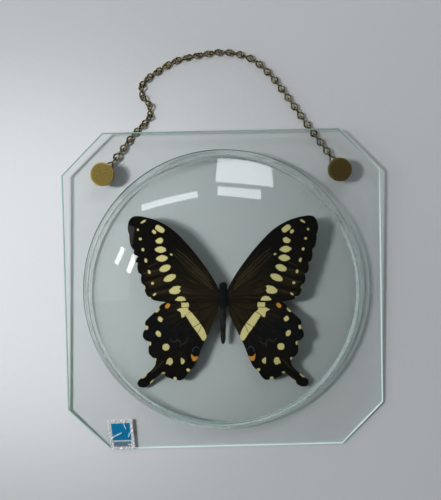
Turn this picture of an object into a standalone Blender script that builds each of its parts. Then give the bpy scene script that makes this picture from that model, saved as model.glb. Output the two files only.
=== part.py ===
"""Framed butterfly specimen, lying as it rests on a table.

An octagonal glass plate carries a slumped glass dome with a swallowtail under it,
two antique brass studs with a chain looped round their shanks, and a foil label.
The plate leans on its lower rear edge and on the two rear stud discs.
Metres, +X to the right, +Y towards the chain, +Z up, the table at z = 0,
with the origin on the table under the middle of the whole part.
"""

import math

import bmesh
import bpy
from mathutils import Matrix, Vector

MM = 0.001
GAP = 0.0003

# Glass plate
PLATE_SIDE = 0.170
PLATE_CHAMFER = 0.0222
PLATE_THICKNESS = 0.0022

# Glass dome
DOME_RADIUS = 0.0750
DOME_CAP_RADIUS = 0.200
DOME_SHOULDER_RADIUS = 0.005
DOME_FLANK_SLOPE = math.radians(68.0)
DOME_FLANK_HEIGHT = 0.007
DOME_THICKNESS = 0.0028
SEAM_HEIGHT = 0.0008
DOME_SEGMENTS = 44
CAP_STEPS = 7
SHOULDER_STEPS = 4

# Adhesive bead inside the dome's foot
SEAM_WIDTH = 0.0012
SEAM_SEGMENTS = 36

# Studs
STUD_INSET = 0.022
STUD_CAP_RADIUS = 0.0063
STUD_CAP_HEIGHT = 0.0038
STUD_CAP_ROUND = 0.0006
SHANK_RADIUS = 0.0013
NECK_RADIUS = 0.0008
NECK_LENGTH = 0.0049
DISC_RADIUS = 0.0050
DISC_THICKNESS = 0.0016
DISC_ROUND = 0.0003
BORE_DEPTH = 0.0009
STUD_SEGMENTS = 18

# Chain
LINK_LENGTH = 0.0082
LINK_WIDTH = 0.0042
LINK_WIRE = 0.0009
LOOP_POINTS = 7
LOOP_STEP = math.radians(48.0)
LINK_COUNT = 34
LINK_TWIST = math.radians(90.0)
FIRST_LINK_HEIGHT = 0.00415
CHAIN_CLEARANCE = 0.00015
# Route of the chain's middle on the table, in millimetres, from stud to stud
CHAIN_ROUTE_MM = [
    (-57.6, 70.0), (-52.6, 76.2), (-48.2, 82.2), (-43.9, 87.2), (-39.4, 91.0),
    (-36.9, 95.6), (-37.6, 100.4), (-40.9, 103.7), (-42.6, 107.6), (-41.0, 112.0),
    (-36.8, 115.6), (-32.1, 118.4), (-27.4, 121.4), (-22.3, 123.8), (-17.7, 125.0),
    (-12.6, 125.8), (-7.0, 126.8), (-0.5, 127.6), (5.5, 127.4), (11.5, 126.2),
    (17.0, 124.0), (22.0, 120.7), (26.1, 116.6), (30.1, 112.0), (33.8, 107.0),
    (37.4, 101.8), (40.9, 96.7), (44.3, 91.6), (47.8, 86.7), (51.4, 81.5),
    (55.0, 76.2), (58.7, 70.8),
]
# Roll of the links along the chain, from first to last, as fractions of a quarter turn
ROLL_STEPS = [(0.0, 0.5), (0.16, 1.0), (0.42, 1.0), (0.60, 1.5), (1.0, 1.5)]

# Butterfly, in its own frame: origin between the wing roots, +Y towards the head
BUTTERFLY_PLACE = (-0.0004, 0.0, 0.0)
BUTTERFLY_TURN = math.radians(-1.0)
WING_THICKNESS = 0.0004
WING_GRID = 0.0068
# Right forewing, in millimetres: front edge, apex, outer margin, hind edge
FOREWING_MM = [
    (3.5, -2.6), (3.7, 1.6), (5.2, 6.0), (9.0, 12.6), (14.6, 20.2), (19.6, 26.0),
    (24.6, 31.2), (29.8, 35.0), (35.6, 37.8), (41.6, 39.4), (46.0, 39.7), (48.6, 38.0),
    (49.6, 34.4), (49.3, 30.4), (48.5, 26.5), (47.2, 22.6), (46.3, 18.8), (45.1, 14.8),
    (44.3, 11.0), (43.3, 7.4), (42.3, 4.0), (41.2, 0.8), (39.6, -2.2), (36.6, -4.2),
    (32.8, -5.1), (28.0, -5.4), (20.0, -5.0), (10.0, -4.8), (4.2, -4.6),
]
# Right hindwing, in millimetres: outer margin with its lobes, tail, inner edge
HINDWING_MM = [
    (3.7, -3.9), (14.0, -3.0), (24.0, -3.4), (29.6, -5.4), (33.0, -7.2), (34.3, -9.2),
    (37.2, -11.8), (40.4, -14.9), (41.0, -16.7), (40.5, -18.4), (42.0, -21.2),
    (42.1, -23.6), (40.6, -25.4), (38.8, -26.3), (39.3, -29.6), (39.0, -32.4),
    (37.3, -34.2), (35.9, -35.6), (35.8, -38.2), (38.2, -41.2), (42.4, -44.4),
    (45.0, -47.2), (44.9, -49.6), (42.6, -50.6), (39.8, -49.6), (36.2, -46.2),
    (33.2, -43.4), (31.6, -43.4), (30.2, -45.0), (27.4, -45.9), (25.4, -46.4),
    (22.8, -46.8), (20.4, -44.8), (18.6, -42.2), (15.6, -39.6), (13.4, -35.2),
    (11.6, -29.8), (9.4, -24.6), (6.4, -18.2), (4.3, -12.4), (3.5, -8.0),
]
# Heights of the wings above the plate
FOREWING_ROOT_HEIGHT = 0.0074
FOREWING_TIP_RISE = 0.0019
FOREWING_ARCH = 0.0007
FOREWING_LENGTH = 0.062
HINDWING_ROOT_HEIGHT = 0.0060
HINDWING_MARGIN_RISE = 0.0044
HINDWING_RISE_FROM = (0.005, -0.002)
HINDWING_RISE_OVER = (0.037, 0.018)
TAIL_DROP = 0.0092
TAIL_DROP_FROM = -0.030
TAIL_DROP_OVER = 0.020

# Body sections along the insect, in millimetres: y, half width, half depth, height
BODY_SECTIONS_MM = [
    (5.2, 0.5, 0.6, 5.6), (4.6, 1.3, 1.5, 5.6), (3.4, 1.8, 2.1, 5.6),
    (2.2, 1.4, 1.7, 5.4), (1.4, 2.2, 3.0, 5.2), (-0.6, 2.9, 4.1, 4.9),
    (-3.0, 3.0, 4.4, 4.8), (-5.6, 2.7, 4.0, 4.8), (-7.6, 1.9, 2.9, 4.7),
    (-8.6, 1.4, 2.0, 4.6), (-10.4, 1.7, 2.1, 4.4), (-14.0, 1.6, 2.0, 3.9),
    (-18.5, 1.5, 1.8, 3.3), (-23.0, 1.3, 1.5, 2.7), (-26.6, 1.0, 1.1, 2.3),
    (-28.6, 0.4, 0.5, 2.1),
]
BODY_SIDES = 12

# Foil label, in millimetres on the plate
LABEL_CORNERS_MM = [(-63.9, -68.9), (-50.6, -68.6), (-49.3, -84.9), (-62.3, -84.9)]
LABEL_THICKNESS = 0.00025

REAR_HEIGHT = NECK_LENGTH + DISC_THICKNESS
STUD_X = PLATE_SIDE / 2 - STUD_INSET
STUD_Y = PLATE_SIDE / 2 - STUD_INSET
TILT = math.atan2(REAR_HEIGHT, PLATE_SIDE / 2 + STUD_Y - DISC_RADIUS)


def clear_scene():
    """Remove every object that the file starts with."""
    for item in list(bpy.data.objects):
        bpy.data.objects.remove(item, do_unlink=True)


def make_collection(name):
    """Add a collection to the scene."""
    collection = bpy.data.collections.new(name)
    bpy.context.scene.collection.children.link(collection)
    return collection


def make_material(name, colour, roughness, metallic=0.0, transmission=0.0):
    """Make a plain Principled material."""
    material = bpy.data.materials.new(name)
    material.use_nodes = True
    shader = material.node_tree.nodes["Principled BSDF"]
    shader.inputs["Base Color"].default_value = (*colour, 1.0)
    shader.inputs["Roughness"].default_value = roughness
    shader.inputs["Metallic"].default_value = metallic
    shader.inputs["Transmission Weight"].default_value = transmission
    material.diffuse_color = (*colour, 1.0)
    return material


def add_object(name, mesh, material, parent, place=(0.0, 0.0, 0.0)):
    """Put a mesh in the model as a named object under its parent."""
    if material and not mesh.materials:
        mesh.materials.append(material)
    item = bpy.data.objects.new(name, mesh)
    item.location = place
    item.parent = parent
    MODEL.objects.link(item)
    return item


def add_frame(name, place, turn, parent=None):
    """Add an empty that places what hangs under it."""
    empty = bpy.data.objects.new(name, None)
    empty.location = place
    empty.rotation_euler = turn
    empty.parent = parent
    MODEL.objects.link(empty)
    return empty


def shade(mesh, angle=40.0):
    """Shade a mesh smooth, with its sharp edges kept."""
    mesh.shade_smooth()
    mesh.set_sharp_from_angle(angle=math.radians(angle))


def take_mesh(curve_object, name):
    """Turn a curve object into a welded mesh and remove the curve."""
    bpy.context.view_layer.update()
    graph = bpy.context.evaluated_depsgraph_get()
    mesh = bpy.data.meshes.new_from_object(curve_object.evaluated_get(graph))
    mesh.name = name
    work = bmesh.new()
    work.from_mesh(mesh)
    bmesh.ops.remove_doubles(work, verts=work.verts, dist=1e-6)
    bmesh.ops.recalc_face_normals(work, faces=work.faces)
    work.to_mesh(mesh)
    work.free()
    bpy.data.objects.remove(curve_object, do_unlink=True)
    return mesh


def outline_slab(name, outlines, thickness):
    """Fill flat outlines, holes included, and give them a thickness."""
    curve = bpy.data.curves.new(name, "CURVE")
    curve.dimensions = "2D"
    curve.fill_mode = "BOTH"
    curve.extrude = thickness / 2
    for outline in outlines:
        spline = curve.splines.new("POLY")
        spline.points.add(len(outline) - 1)
        spline.use_cyclic_u = True
        for point, (x, y) in zip(spline.points, outline):
            point.co = (x, y, 0.0, 1.0)
    holder = bpy.data.objects.new(name + "_outline", curve)
    MODEL.objects.link(holder)
    return take_mesh(holder, name)


def circle(radius, count, centre=(0.0, 0.0)):
    """Points round a circle."""
    points = []
    for step in range(count):
        angle = 2 * math.pi * step / count
        points.append((centre[0] + radius * math.cos(angle), centre[1] + radius * math.sin(angle)))
    return points


def smooth_loop(points, steps):
    """Catmull-Rom curve through a closed list of points."""
    result = []
    count = len(points)
    for index in range(count):
        before, start, end, after = (Vector(points[(index + k) % count]) for k in (-1, 0, 1, 2))
        for step in range(steps):
            result.append(catmull_rom(before, start, end, after, step / steps))
    return result


def smooth_line(points, steps):
    """Catmull-Rom curve through an open list of points."""
    result = []
    last = len(points) - 1
    for index in range(last):
        before = points[max(index - 1, 0)]
        after = points[min(index + 2, last)]
        for step in range(steps):
            result.append(catmull_rom(before, points[index], points[index + 1], after, step / steps))
    result.append(points[last].copy())
    return result


def catmull_rom(before, start, end, after, t):
    """One point of a Catmull-Rom segment."""
    return 0.5 * (
        2 * start
        + (end - before) * t
        + (2 * before - 5 * start + 4 * end - after) * t * t
        + (3 * start - before - 3 * end + after) * t * t * t
    )


def turned(name, profile, segments, material, parent, place=(0.0, 0.0, 0.0)):
    """Turn a profile of (radius, height) points about the Z axis."""
    mesh = bpy.data.meshes.new(name)
    edges = [(k, k + 1) for k in range(len(profile) - 1)]
    mesh.from_pydata([(radius, 0.0, height) for radius, height in profile], edges, [])
    item = add_object(name, mesh, material, parent, place)
    screw = item.modifiers.new("Turn", "SCREW")
    screw.steps = segments
    screw.render_steps = segments
    screw.use_merge_vertices = True
    screw.merge_threshold = 1e-5
    screw.use_smooth_shade = True
    return item


def arc(centre, radius, start, end, count):
    """Points of an arc, with angles measured from the vertical."""
    points = []
    for step in range(count):
        angle = start + (end - start) * step / (count - 1)
        points.append((centre[0] + radius * math.sin(angle), centre[1] + radius * math.cos(angle)))
    return points


def ease(value):
    """Smooth step from 0 to 1."""
    value = min(max(value, 0.0), 1.0)
    return value * value * (3 - 2 * value)


def build_plate(material, parent):
    """Octagonal plate with a bored hole for each stud."""
    half = PLATE_SIDE / 2
    cut = half - PLATE_CHAMFER
    octagon = [(-cut, half), (cut, half), (half, cut), (half, -cut)]
    octagon += [(cut, -half), (-cut, -half), (-half, -cut), (-half, cut)]
    holes = [circle(SHANK_RADIUS + GAP, 12, (side * STUD_X, STUD_Y)) for side in (-1, 1)]
    mesh = outline_slab("plate_glass", [octagon] + holes, PLATE_THICKNESS)
    add_object("plate_glass", mesh, material, parent, (0.0, 0.0, -PLATE_THICKNESS / 2))


def build_dome(material, parent):
    """Slumped glass dome: a shallow cap, a tight shoulder, a steep flank and a ground foot."""
    flank_top = DOME_RADIUS - DOME_FLANK_HEIGHT / math.tan(DOME_FLANK_SLOPE)
    shoulder_x = flank_top - DOME_SHOULDER_RADIUS * math.sin(DOME_FLANK_SLOPE)
    shoulder_z = SEAM_HEIGHT + DOME_FLANK_HEIGHT - DOME_SHOULDER_RADIUS * math.cos(DOME_FLANK_SLOPE)
    shoulder = (shoulder_x, shoulder_z)
    spread = DOME_CAP_RADIUS - DOME_SHOULDER_RADIUS
    join = math.asin(shoulder_x / spread)
    cap_centre = (0.0, shoulder_z - spread * math.cos(join))
    inner_radius = DOME_SHOULDER_RADIUS - DOME_THICKNESS
    foot = DOME_RADIUS - DOME_THICKNESS / math.sin(DOME_FLANK_SLOPE)
    profile = arc(cap_centre, DOME_CAP_RADIUS, 0.0, join, CAP_STEPS)
    profile += arc(shoulder, DOME_SHOULDER_RADIUS, join, DOME_FLANK_SLOPE, SHOULDER_STEPS)[1:]
    profile += [(DOME_RADIUS, SEAM_HEIGHT), (foot, SEAM_HEIGHT)]
    profile += reversed(arc(shoulder, inner_radius, join, DOME_FLANK_SLOPE, SHOULDER_STEPS))
    inner_cap = arc(cap_centre, DOME_CAP_RADIUS - DOME_THICKNESS, 0.0, join, CAP_STEPS)
    profile += reversed(inner_cap[:-1])
    turned("dome_glass", profile, DOME_SEGMENTS, material, parent)
    return foot


def build_seam(foot_radius, material, parent):
    """Thin bead of clear adhesive just inside the dome's foot."""
    outer = foot_radius - GAP
    inner = outer - SEAM_WIDTH
    top = SEAM_HEIGHT
    profile = [(inner, top), (outer, top), (outer, GAP), (inner, GAP), (inner, top)]
    turned("glue_seam", profile, SEAM_SEGMENTS, material, parent)


def build_stud(side, label, cap_material, disc_material, parent):
    """Round cap with its shank through the plate, and the disc behind."""
    place = (side * STUD_X, STUD_Y, 0.0)
    top = GAP + STUD_CAP_HEIGHT
    shank_end = -PLATE_THICKNESS - GAP
    disc_top = -PLATE_THICKNESS - NECK_LENGTH
    neck_end = disc_top - BORE_DEPTH + GAP
    corner = (STUD_CAP_RADIUS - STUD_CAP_ROUND, top - STUD_CAP_ROUND)
    profile = [(0.0, top)] + arc(corner, STUD_CAP_ROUND, 0.0, math.pi / 2, 4)
    profile += [(STUD_CAP_RADIUS, GAP), (SHANK_RADIUS, GAP), (SHANK_RADIUS, shank_end)]
    profile += [(NECK_RADIUS, shank_end), (NECK_RADIUS, neck_end), (0.0, neck_end)]
    turned("stud_cap_" + label, profile, STUD_SEGMENTS, cap_material, parent, place)
    bottom = disc_top - DISC_THICKNESS
    bore = NECK_RADIUS + GAP
    floor = disc_top - BORE_DEPTH
    disc = [(0.0, floor), (bore, floor), (bore, disc_top), (DISC_RADIUS - DISC_ROUND, disc_top)]
    disc += [(DISC_RADIUS, disc_top - DISC_ROUND), (DISC_RADIUS, bottom), (0.0, bottom)]
    turned("stud_disc_" + label, disc, STUD_SEGMENTS, disc_material, parent, place)


def forewing_height(x, y):
    """Height of the forewing above the plate."""
    along = math.hypot(x, y) / FOREWING_LENGTH
    arch = FOREWING_ARCH * math.sin(math.pi * min(along, 1.0))
    return FOREWING_ROOT_HEIGHT + FOREWING_TIP_RISE * along + arch


def hindwing_height(x, y):
    """Height of the hindwing, lifted at its outer margin, its tail down on the plate."""
    across = ease((x - HINDWING_RISE_FROM[0]) / HINDWING_RISE_OVER[0])
    along = ease((HINDWING_RISE_FROM[1] - y) / HINDWING_RISE_OVER[1])
    fall = max(TAIL_DROP_FROM - y, 0.0) / TAIL_DROP_OVER
    rise = HINDWING_MARGIN_RISE * across * along
    return HINDWING_ROOT_HEIGHT + rise - TAIL_DROP * fall ** 1.5 * across


def build_wing(name, outline_mm, side, height, material, parent):
    """Thin bent sheet cut to the wing's outline."""
    points = [(side * x * MM, y * MM) for x, y in outline_mm]
    outline = [(point.x, point.y) for point in smooth_loop(points, 2)]
    cutter = bpy.data.objects.new(name + "_outline", outline_slab(name + "_cut", [outline], 0.06))
    cutter.parent = parent
    cutter.hide_render = True
    cutter.display_type = "WIRE"
    CUTTERS.objects.link(cutter)
    xs = [point[0] for point in outline]
    ys = [point[1] for point in outline]
    width = max(xs) - min(xs) + 2 * WING_GRID
    length = max(ys) - min(ys) + 2 * WING_GRID
    centre = Vector(((max(xs) + min(xs)) / 2, (max(ys) + min(ys)) / 2, 0.0))
    sheet = bmesh.new()
    bmesh.ops.create_grid(
        sheet, x_segments=round(width / WING_GRID), y_segments=round(length / WING_GRID), size=0.5
    )
    for vertex in sheet.verts:
        vertex.co = Vector((vertex.co.x * width, vertex.co.y * length, 0.0)) + centre
        vertex.co.z = height(abs(vertex.co.x), vertex.co.y)
    bmesh.ops.triangulate(sheet, faces=sheet.faces)
    mesh = bpy.data.meshes.new(name)
    sheet.to_mesh(mesh)
    sheet.free()
    wing = add_object(name, mesh, material, parent)
    solidify = wing.modifiers.new("Thickness", "SOLIDIFY")
    solidify.thickness = WING_THICKNESS
    solidify.offset = 0.0
    trim = wing.modifiers.new("Outline", "BOOLEAN")
    trim.operation = "INTERSECT"
    trim.solver = "EXACT"
    trim.object = cutter


def build_body(material, parent):
    """Head, thorax and abdomen lofted through upright oval sections."""
    work = bmesh.new()
    rings = []
    for y, half_width, half_depth, height in BODY_SECTIONS_MM:
        ring = []
        for x, z in circle(1.0, BODY_SIDES):
            ring.append(work.verts.new((x * half_width * MM, y * MM, (height + z * half_depth) * MM)))
        rings.append(ring)
    for front, back in zip(rings, rings[1:]):
        for k in range(BODY_SIDES):
            nxt = (k + 1) % BODY_SIDES
            work.faces.new((front[k], front[nxt], back[nxt], back[k]))
    work.faces.new(rings[0])
    work.faces.new(rings[-1])
    bmesh.ops.recalc_face_normals(work, faces=work.faces)
    mesh = bpy.data.meshes.new("butterfly_body")
    work.to_mesh(mesh)
    work.free()
    shade(mesh, 60.0)
    add_object("butterfly_body", mesh, material, parent)


def build_label(material, parent):
    """Foil label lying on the plate's lower left corner."""
    corners = [(x * MM, y * MM) for x, y in LABEL_CORNERS_MM]
    mesh = outline_slab("foil_label", [corners], LABEL_THICKNESS)
    add_object("foil_label", mesh, material, parent, (0.0, 0.0, GAP + LABEL_THICKNESS / 2))


def link_points():
    """Points round one link: a round loop at each end, a quarter turn apart."""
    arm = (LINK_WIDTH - LINK_WIRE) / 2
    centre = (LINK_LENGTH - LINK_WIRE) / 2 - arm
    points = []
    for end in (1, -1):
        twist = end * LINK_TWIST / 2
        for step in range(LOOP_POINTS):
            angle = (step - (LOOP_POINTS - 1) / 2) * LOOP_STEP
            aside = end * arm * math.sin(angle)
            along = end * (centre + arm * math.cos(angle))
            points.append((along, aside * math.cos(twist), aside * math.sin(twist)))
    return points


def link_mesh(material):
    """One wire link as a bevelled closed curve."""
    curve = bpy.data.curves.new("chain_link", "CURVE")
    curve.dimensions = "3D"
    curve.bevel_depth = LINK_WIRE / 2
    curve.bevel_resolution = 1
    spline = curve.splines.new("POLY")
    points = link_points()
    spline.points.add(len(points) - 1)
    spline.use_cyclic_u = True
    for point, (x, y, z) in zip(spline.points, points):
        point.co = (x, y, z, 1.0)
    holder = bpy.data.objects.new("chain_link_wire", curve)
    MODEL.objects.link(holder)
    mesh = take_mesh(holder, "chain_link")
    mesh.materials.append(material)
    mesh.shade_smooth()
    return mesh


def link_roll(fraction):
    """Roll of a link by its place along the chain."""
    for (start, low), (end, high) in zip(ROLL_STEPS, ROLL_STEPS[1:]):
        if fraction <= end:
            part = (fraction - start) / (end - start)
            return (low + (high - low) * part) * math.pi / 2
    return ROLL_STEPS[-1][1] * math.pi / 2


def resting_height(roll):
    """Height of a link's middle when its lower loop just touches the table."""
    arm = (LINK_WIDTH - LINK_WIRE) / 2
    first = abs(math.sin(roll - LINK_TWIST / 2))
    second = abs(math.sin(roll + LINK_TWIST / 2))
    return arm * max(first, second) + LINK_WIRE / 2 + CHAIN_CLEARANCE


def chain_line(left, right):
    """Smooth line of the chain, just past the stud at each end."""
    route = [Vector((x * MM, y * MM, 0.0)) for x, y in CHAIN_ROUTE_MM]
    past = LINK_LENGTH / 2 - LINK_WIDTH / 2
    pitch = LINK_LENGTH - LINK_WIRE - LINK_WIRE - GAP
    offset = pitch / 2 - past
    start = left + (left - route[0]).normalized() * offset
    end = right + (right - route[-1]).normalized() * offset
    return smooth_line([start, left] + route + [right, end], 24)


def walk(line, chord):
    """Places along a line that are one chord apart, as many as it holds."""
    places = [line[0].copy()]
    for point in line[1:]:
        reach = (point - places[-1]).length
        if reach >= chord:
            places.append(places[-1] + (point - places[-1]) * (chord / reach))
    return places


def chain_joints(line):
    """Joints between the links, with the pitch found that ends on the last one."""
    low = LINK_LENGTH / 2
    high = LINK_LENGTH
    for _ in range(60):
        chord = (low + high) / 2
        if len(walk(line, chord)) > LINK_COUNT:
            low = chord
        else:
            high = chord
    return walk(line, low)[: LINK_COUNT + 1]


def build_chain(material, plate_frame, root):
    """Chain of twisted links laid along its route, a node for each link."""
    bpy.context.view_layer.update()
    neck = -PLATE_THICKNESS - NECK_LENGTH / 2
    studs = [plate_frame.matrix_world @ Vector((side * STUD_X, STUD_Y, neck)) for side in (-1, 1)]
    left, right = (Vector((stud.x, stud.y, 0.0)) for stud in studs)
    joints = chain_joints(chain_line(left, right))
    rolls = [link_roll(k / (LINK_COUNT - 1)) for k in range(LINK_COUNT)]
    for k, joint in enumerate(joints):
        rest = resting_height(rolls[min(k, LINK_COUNT - 1)])
        near = min(k, LINK_COUNT - k)
        lift = 1.0 - ease((near - 1) / 3)
        joint.z = rest + (FIRST_LINK_HEIGHT - rest) * lift
    mesh = link_mesh(material)
    for k in range(LINK_COUNT):
        start, end = joints[k], joints[k + 1]
        along = (end - start).normalized()
        across = Vector((0.0, 0.0, 1.0)).cross(along).normalized()
        frame = Matrix((along, across, along.cross(across))).transposed()
        item = add_object(f"chain_link_{k + 1:02d}", mesh, material, root, (start + end) / 2)
        item.rotation_euler = (frame @ Matrix.Rotation(rolls[k], 3, "X")).to_euler()


def centre_on_table(root):
    """Move the root so that the origin lies on the table under the middle of the box."""
    bpy.context.view_layer.update()
    graph = bpy.context.evaluated_depsgraph_get()
    corners = []
    for item in MODEL.objects:
        if item.type == "MESH":
            solid = item.evaluated_get(graph)
            corners += [item.matrix_world @ vertex.co for vertex in solid.data.vertices]
    low, high = (Vector(pick(c[k] for c in corners) for k in range(3)) for pick in (min, max))
    root.location = (-(low.x + high.x) / 2, -(low.y + high.y) / 2, -low.z)


def build():
    """Build the whole part."""
    clear_glass = make_material("clear_glass", (0.86, 0.93, 0.90), 0.02, transmission=1.0)
    adhesive = make_material("clear_adhesive", (0.80, 0.82, 0.80), 0.25, transmission=0.8)
    antique_brass = make_material("antique_brass", (0.20, 0.15, 0.055), 0.42, metallic=1.0)
    bronze_wire = make_material("bronze_wire", (0.17, 0.135, 0.075), 0.38, metallic=1.0)
    wing_scales = make_material("wing_scales", (0.020, 0.014, 0.010), 0.80)
    body_fur = make_material("body_fur", (0.022, 0.022, 0.026), 0.90)
    foil = make_material("foil", (0.35, 0.45, 0.52), 0.30, metallic=0.8)

    drop = PLATE_THICKNESS * math.cos(TILT) + PLATE_SIDE / 2 * math.sin(TILT)
    root = add_frame("part_origin", (0.0, 0.0, 0.0), (0.0, 0.0, 0.0))
    plate_frame = add_frame("plate_frame", (0.0, 0.0, drop), (TILT, 0.0, 0.0), root)
    build_plate(clear_glass, plate_frame)
    foot_radius = build_dome(clear_glass, plate_frame)
    build_seam(foot_radius, adhesive, plate_frame)
    build_stud(-1, "left", antique_brass, antique_brass, plate_frame)
    build_stud(1, "right", antique_brass, antique_brass, plate_frame)
    build_label(foil, plate_frame)

    insect = add_frame("butterfly_frame", BUTTERFLY_PLACE, (0.0, 0.0, BUTTERFLY_TURN), plate_frame)
    build_body(body_fur, insect)
    for side, label in ((-1, "left"), (1, "right")):
        build_wing("forewing_" + label, FOREWING_MM, side, forewing_height, wing_scales, insect)
        build_wing("hindwing_" + label, HINDWING_MM, side, hindwing_height, wing_scales, insect)
    build_chain(bronze_wire, plate_frame, root)
    centre_on_table(root)


clear_scene()
MODEL = make_collection("framed_butterfly")
CUTTERS = make_collection("cutters")
build()
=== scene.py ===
"""Look of the framed butterfly specimen: glass, wings, fur, brass, chain and foil.

Every piece is built in the part's own frame, in metres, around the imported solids.
"""

import logging
import math
from collections.abc import Callable, Sequence
from dataclasses import dataclass, field
from enum import Enum

import bmesh
import bpy
import numpy as np
from mathutils import Euler, Matrix, Vector, geometry, noise


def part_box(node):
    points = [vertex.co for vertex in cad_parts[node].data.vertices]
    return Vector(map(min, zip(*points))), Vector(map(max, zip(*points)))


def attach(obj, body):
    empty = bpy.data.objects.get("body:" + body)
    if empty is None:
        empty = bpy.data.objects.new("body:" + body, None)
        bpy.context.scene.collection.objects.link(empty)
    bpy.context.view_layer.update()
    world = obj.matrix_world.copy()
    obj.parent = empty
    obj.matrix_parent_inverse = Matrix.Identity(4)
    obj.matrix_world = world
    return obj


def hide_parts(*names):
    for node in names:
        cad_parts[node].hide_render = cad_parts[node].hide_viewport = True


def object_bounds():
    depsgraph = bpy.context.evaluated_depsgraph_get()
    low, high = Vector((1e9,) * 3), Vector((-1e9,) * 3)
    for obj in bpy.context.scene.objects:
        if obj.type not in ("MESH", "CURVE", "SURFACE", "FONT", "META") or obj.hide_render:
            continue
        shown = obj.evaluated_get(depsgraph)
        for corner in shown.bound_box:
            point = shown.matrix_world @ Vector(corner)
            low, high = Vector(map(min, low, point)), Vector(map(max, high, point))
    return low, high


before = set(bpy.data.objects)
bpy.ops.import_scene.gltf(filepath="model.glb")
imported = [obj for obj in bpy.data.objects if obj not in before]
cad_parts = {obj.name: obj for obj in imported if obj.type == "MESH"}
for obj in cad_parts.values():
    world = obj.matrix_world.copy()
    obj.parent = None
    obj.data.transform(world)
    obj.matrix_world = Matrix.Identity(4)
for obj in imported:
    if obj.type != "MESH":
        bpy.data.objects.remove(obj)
CAD_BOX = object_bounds()

LOG = logging.getLogger("framed_butterfly")
MM = 0.001
BODY = "root"

Colour = tuple[float, float, float]
Point2 = tuple[float, float]

# Places of the colour sockets on the Mix node, whose names repeat
MIX_FIRST_COLOUR = 6
MIX_SECOND_COLOUR = 7
MIX_COLOUR = 2

MERGE_DISTANCE = 1e-6
BOX_MARGIN = 1e-5

# Angles past which an edge is shaded sharp
TURNED_SHARP_ANGLE = math.radians(35.0)
PLATE_SHARP_ANGLE = math.radians(28.0)
WING_SHARP_ANGLE = math.radians(60.0)


class Face(Enum):
    """Which of a plate's materials a face takes."""

    FLAT = 0
    GROUND = 1


class Side(Enum):
    """Side of the butterfly or of the frame, as the sign of X."""

    LEFT = -1
    RIGHT = 1

    @property
    def label(self) -> str:
        """Name of the side as the nodes use it."""
        return self.name.lower()


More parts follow.
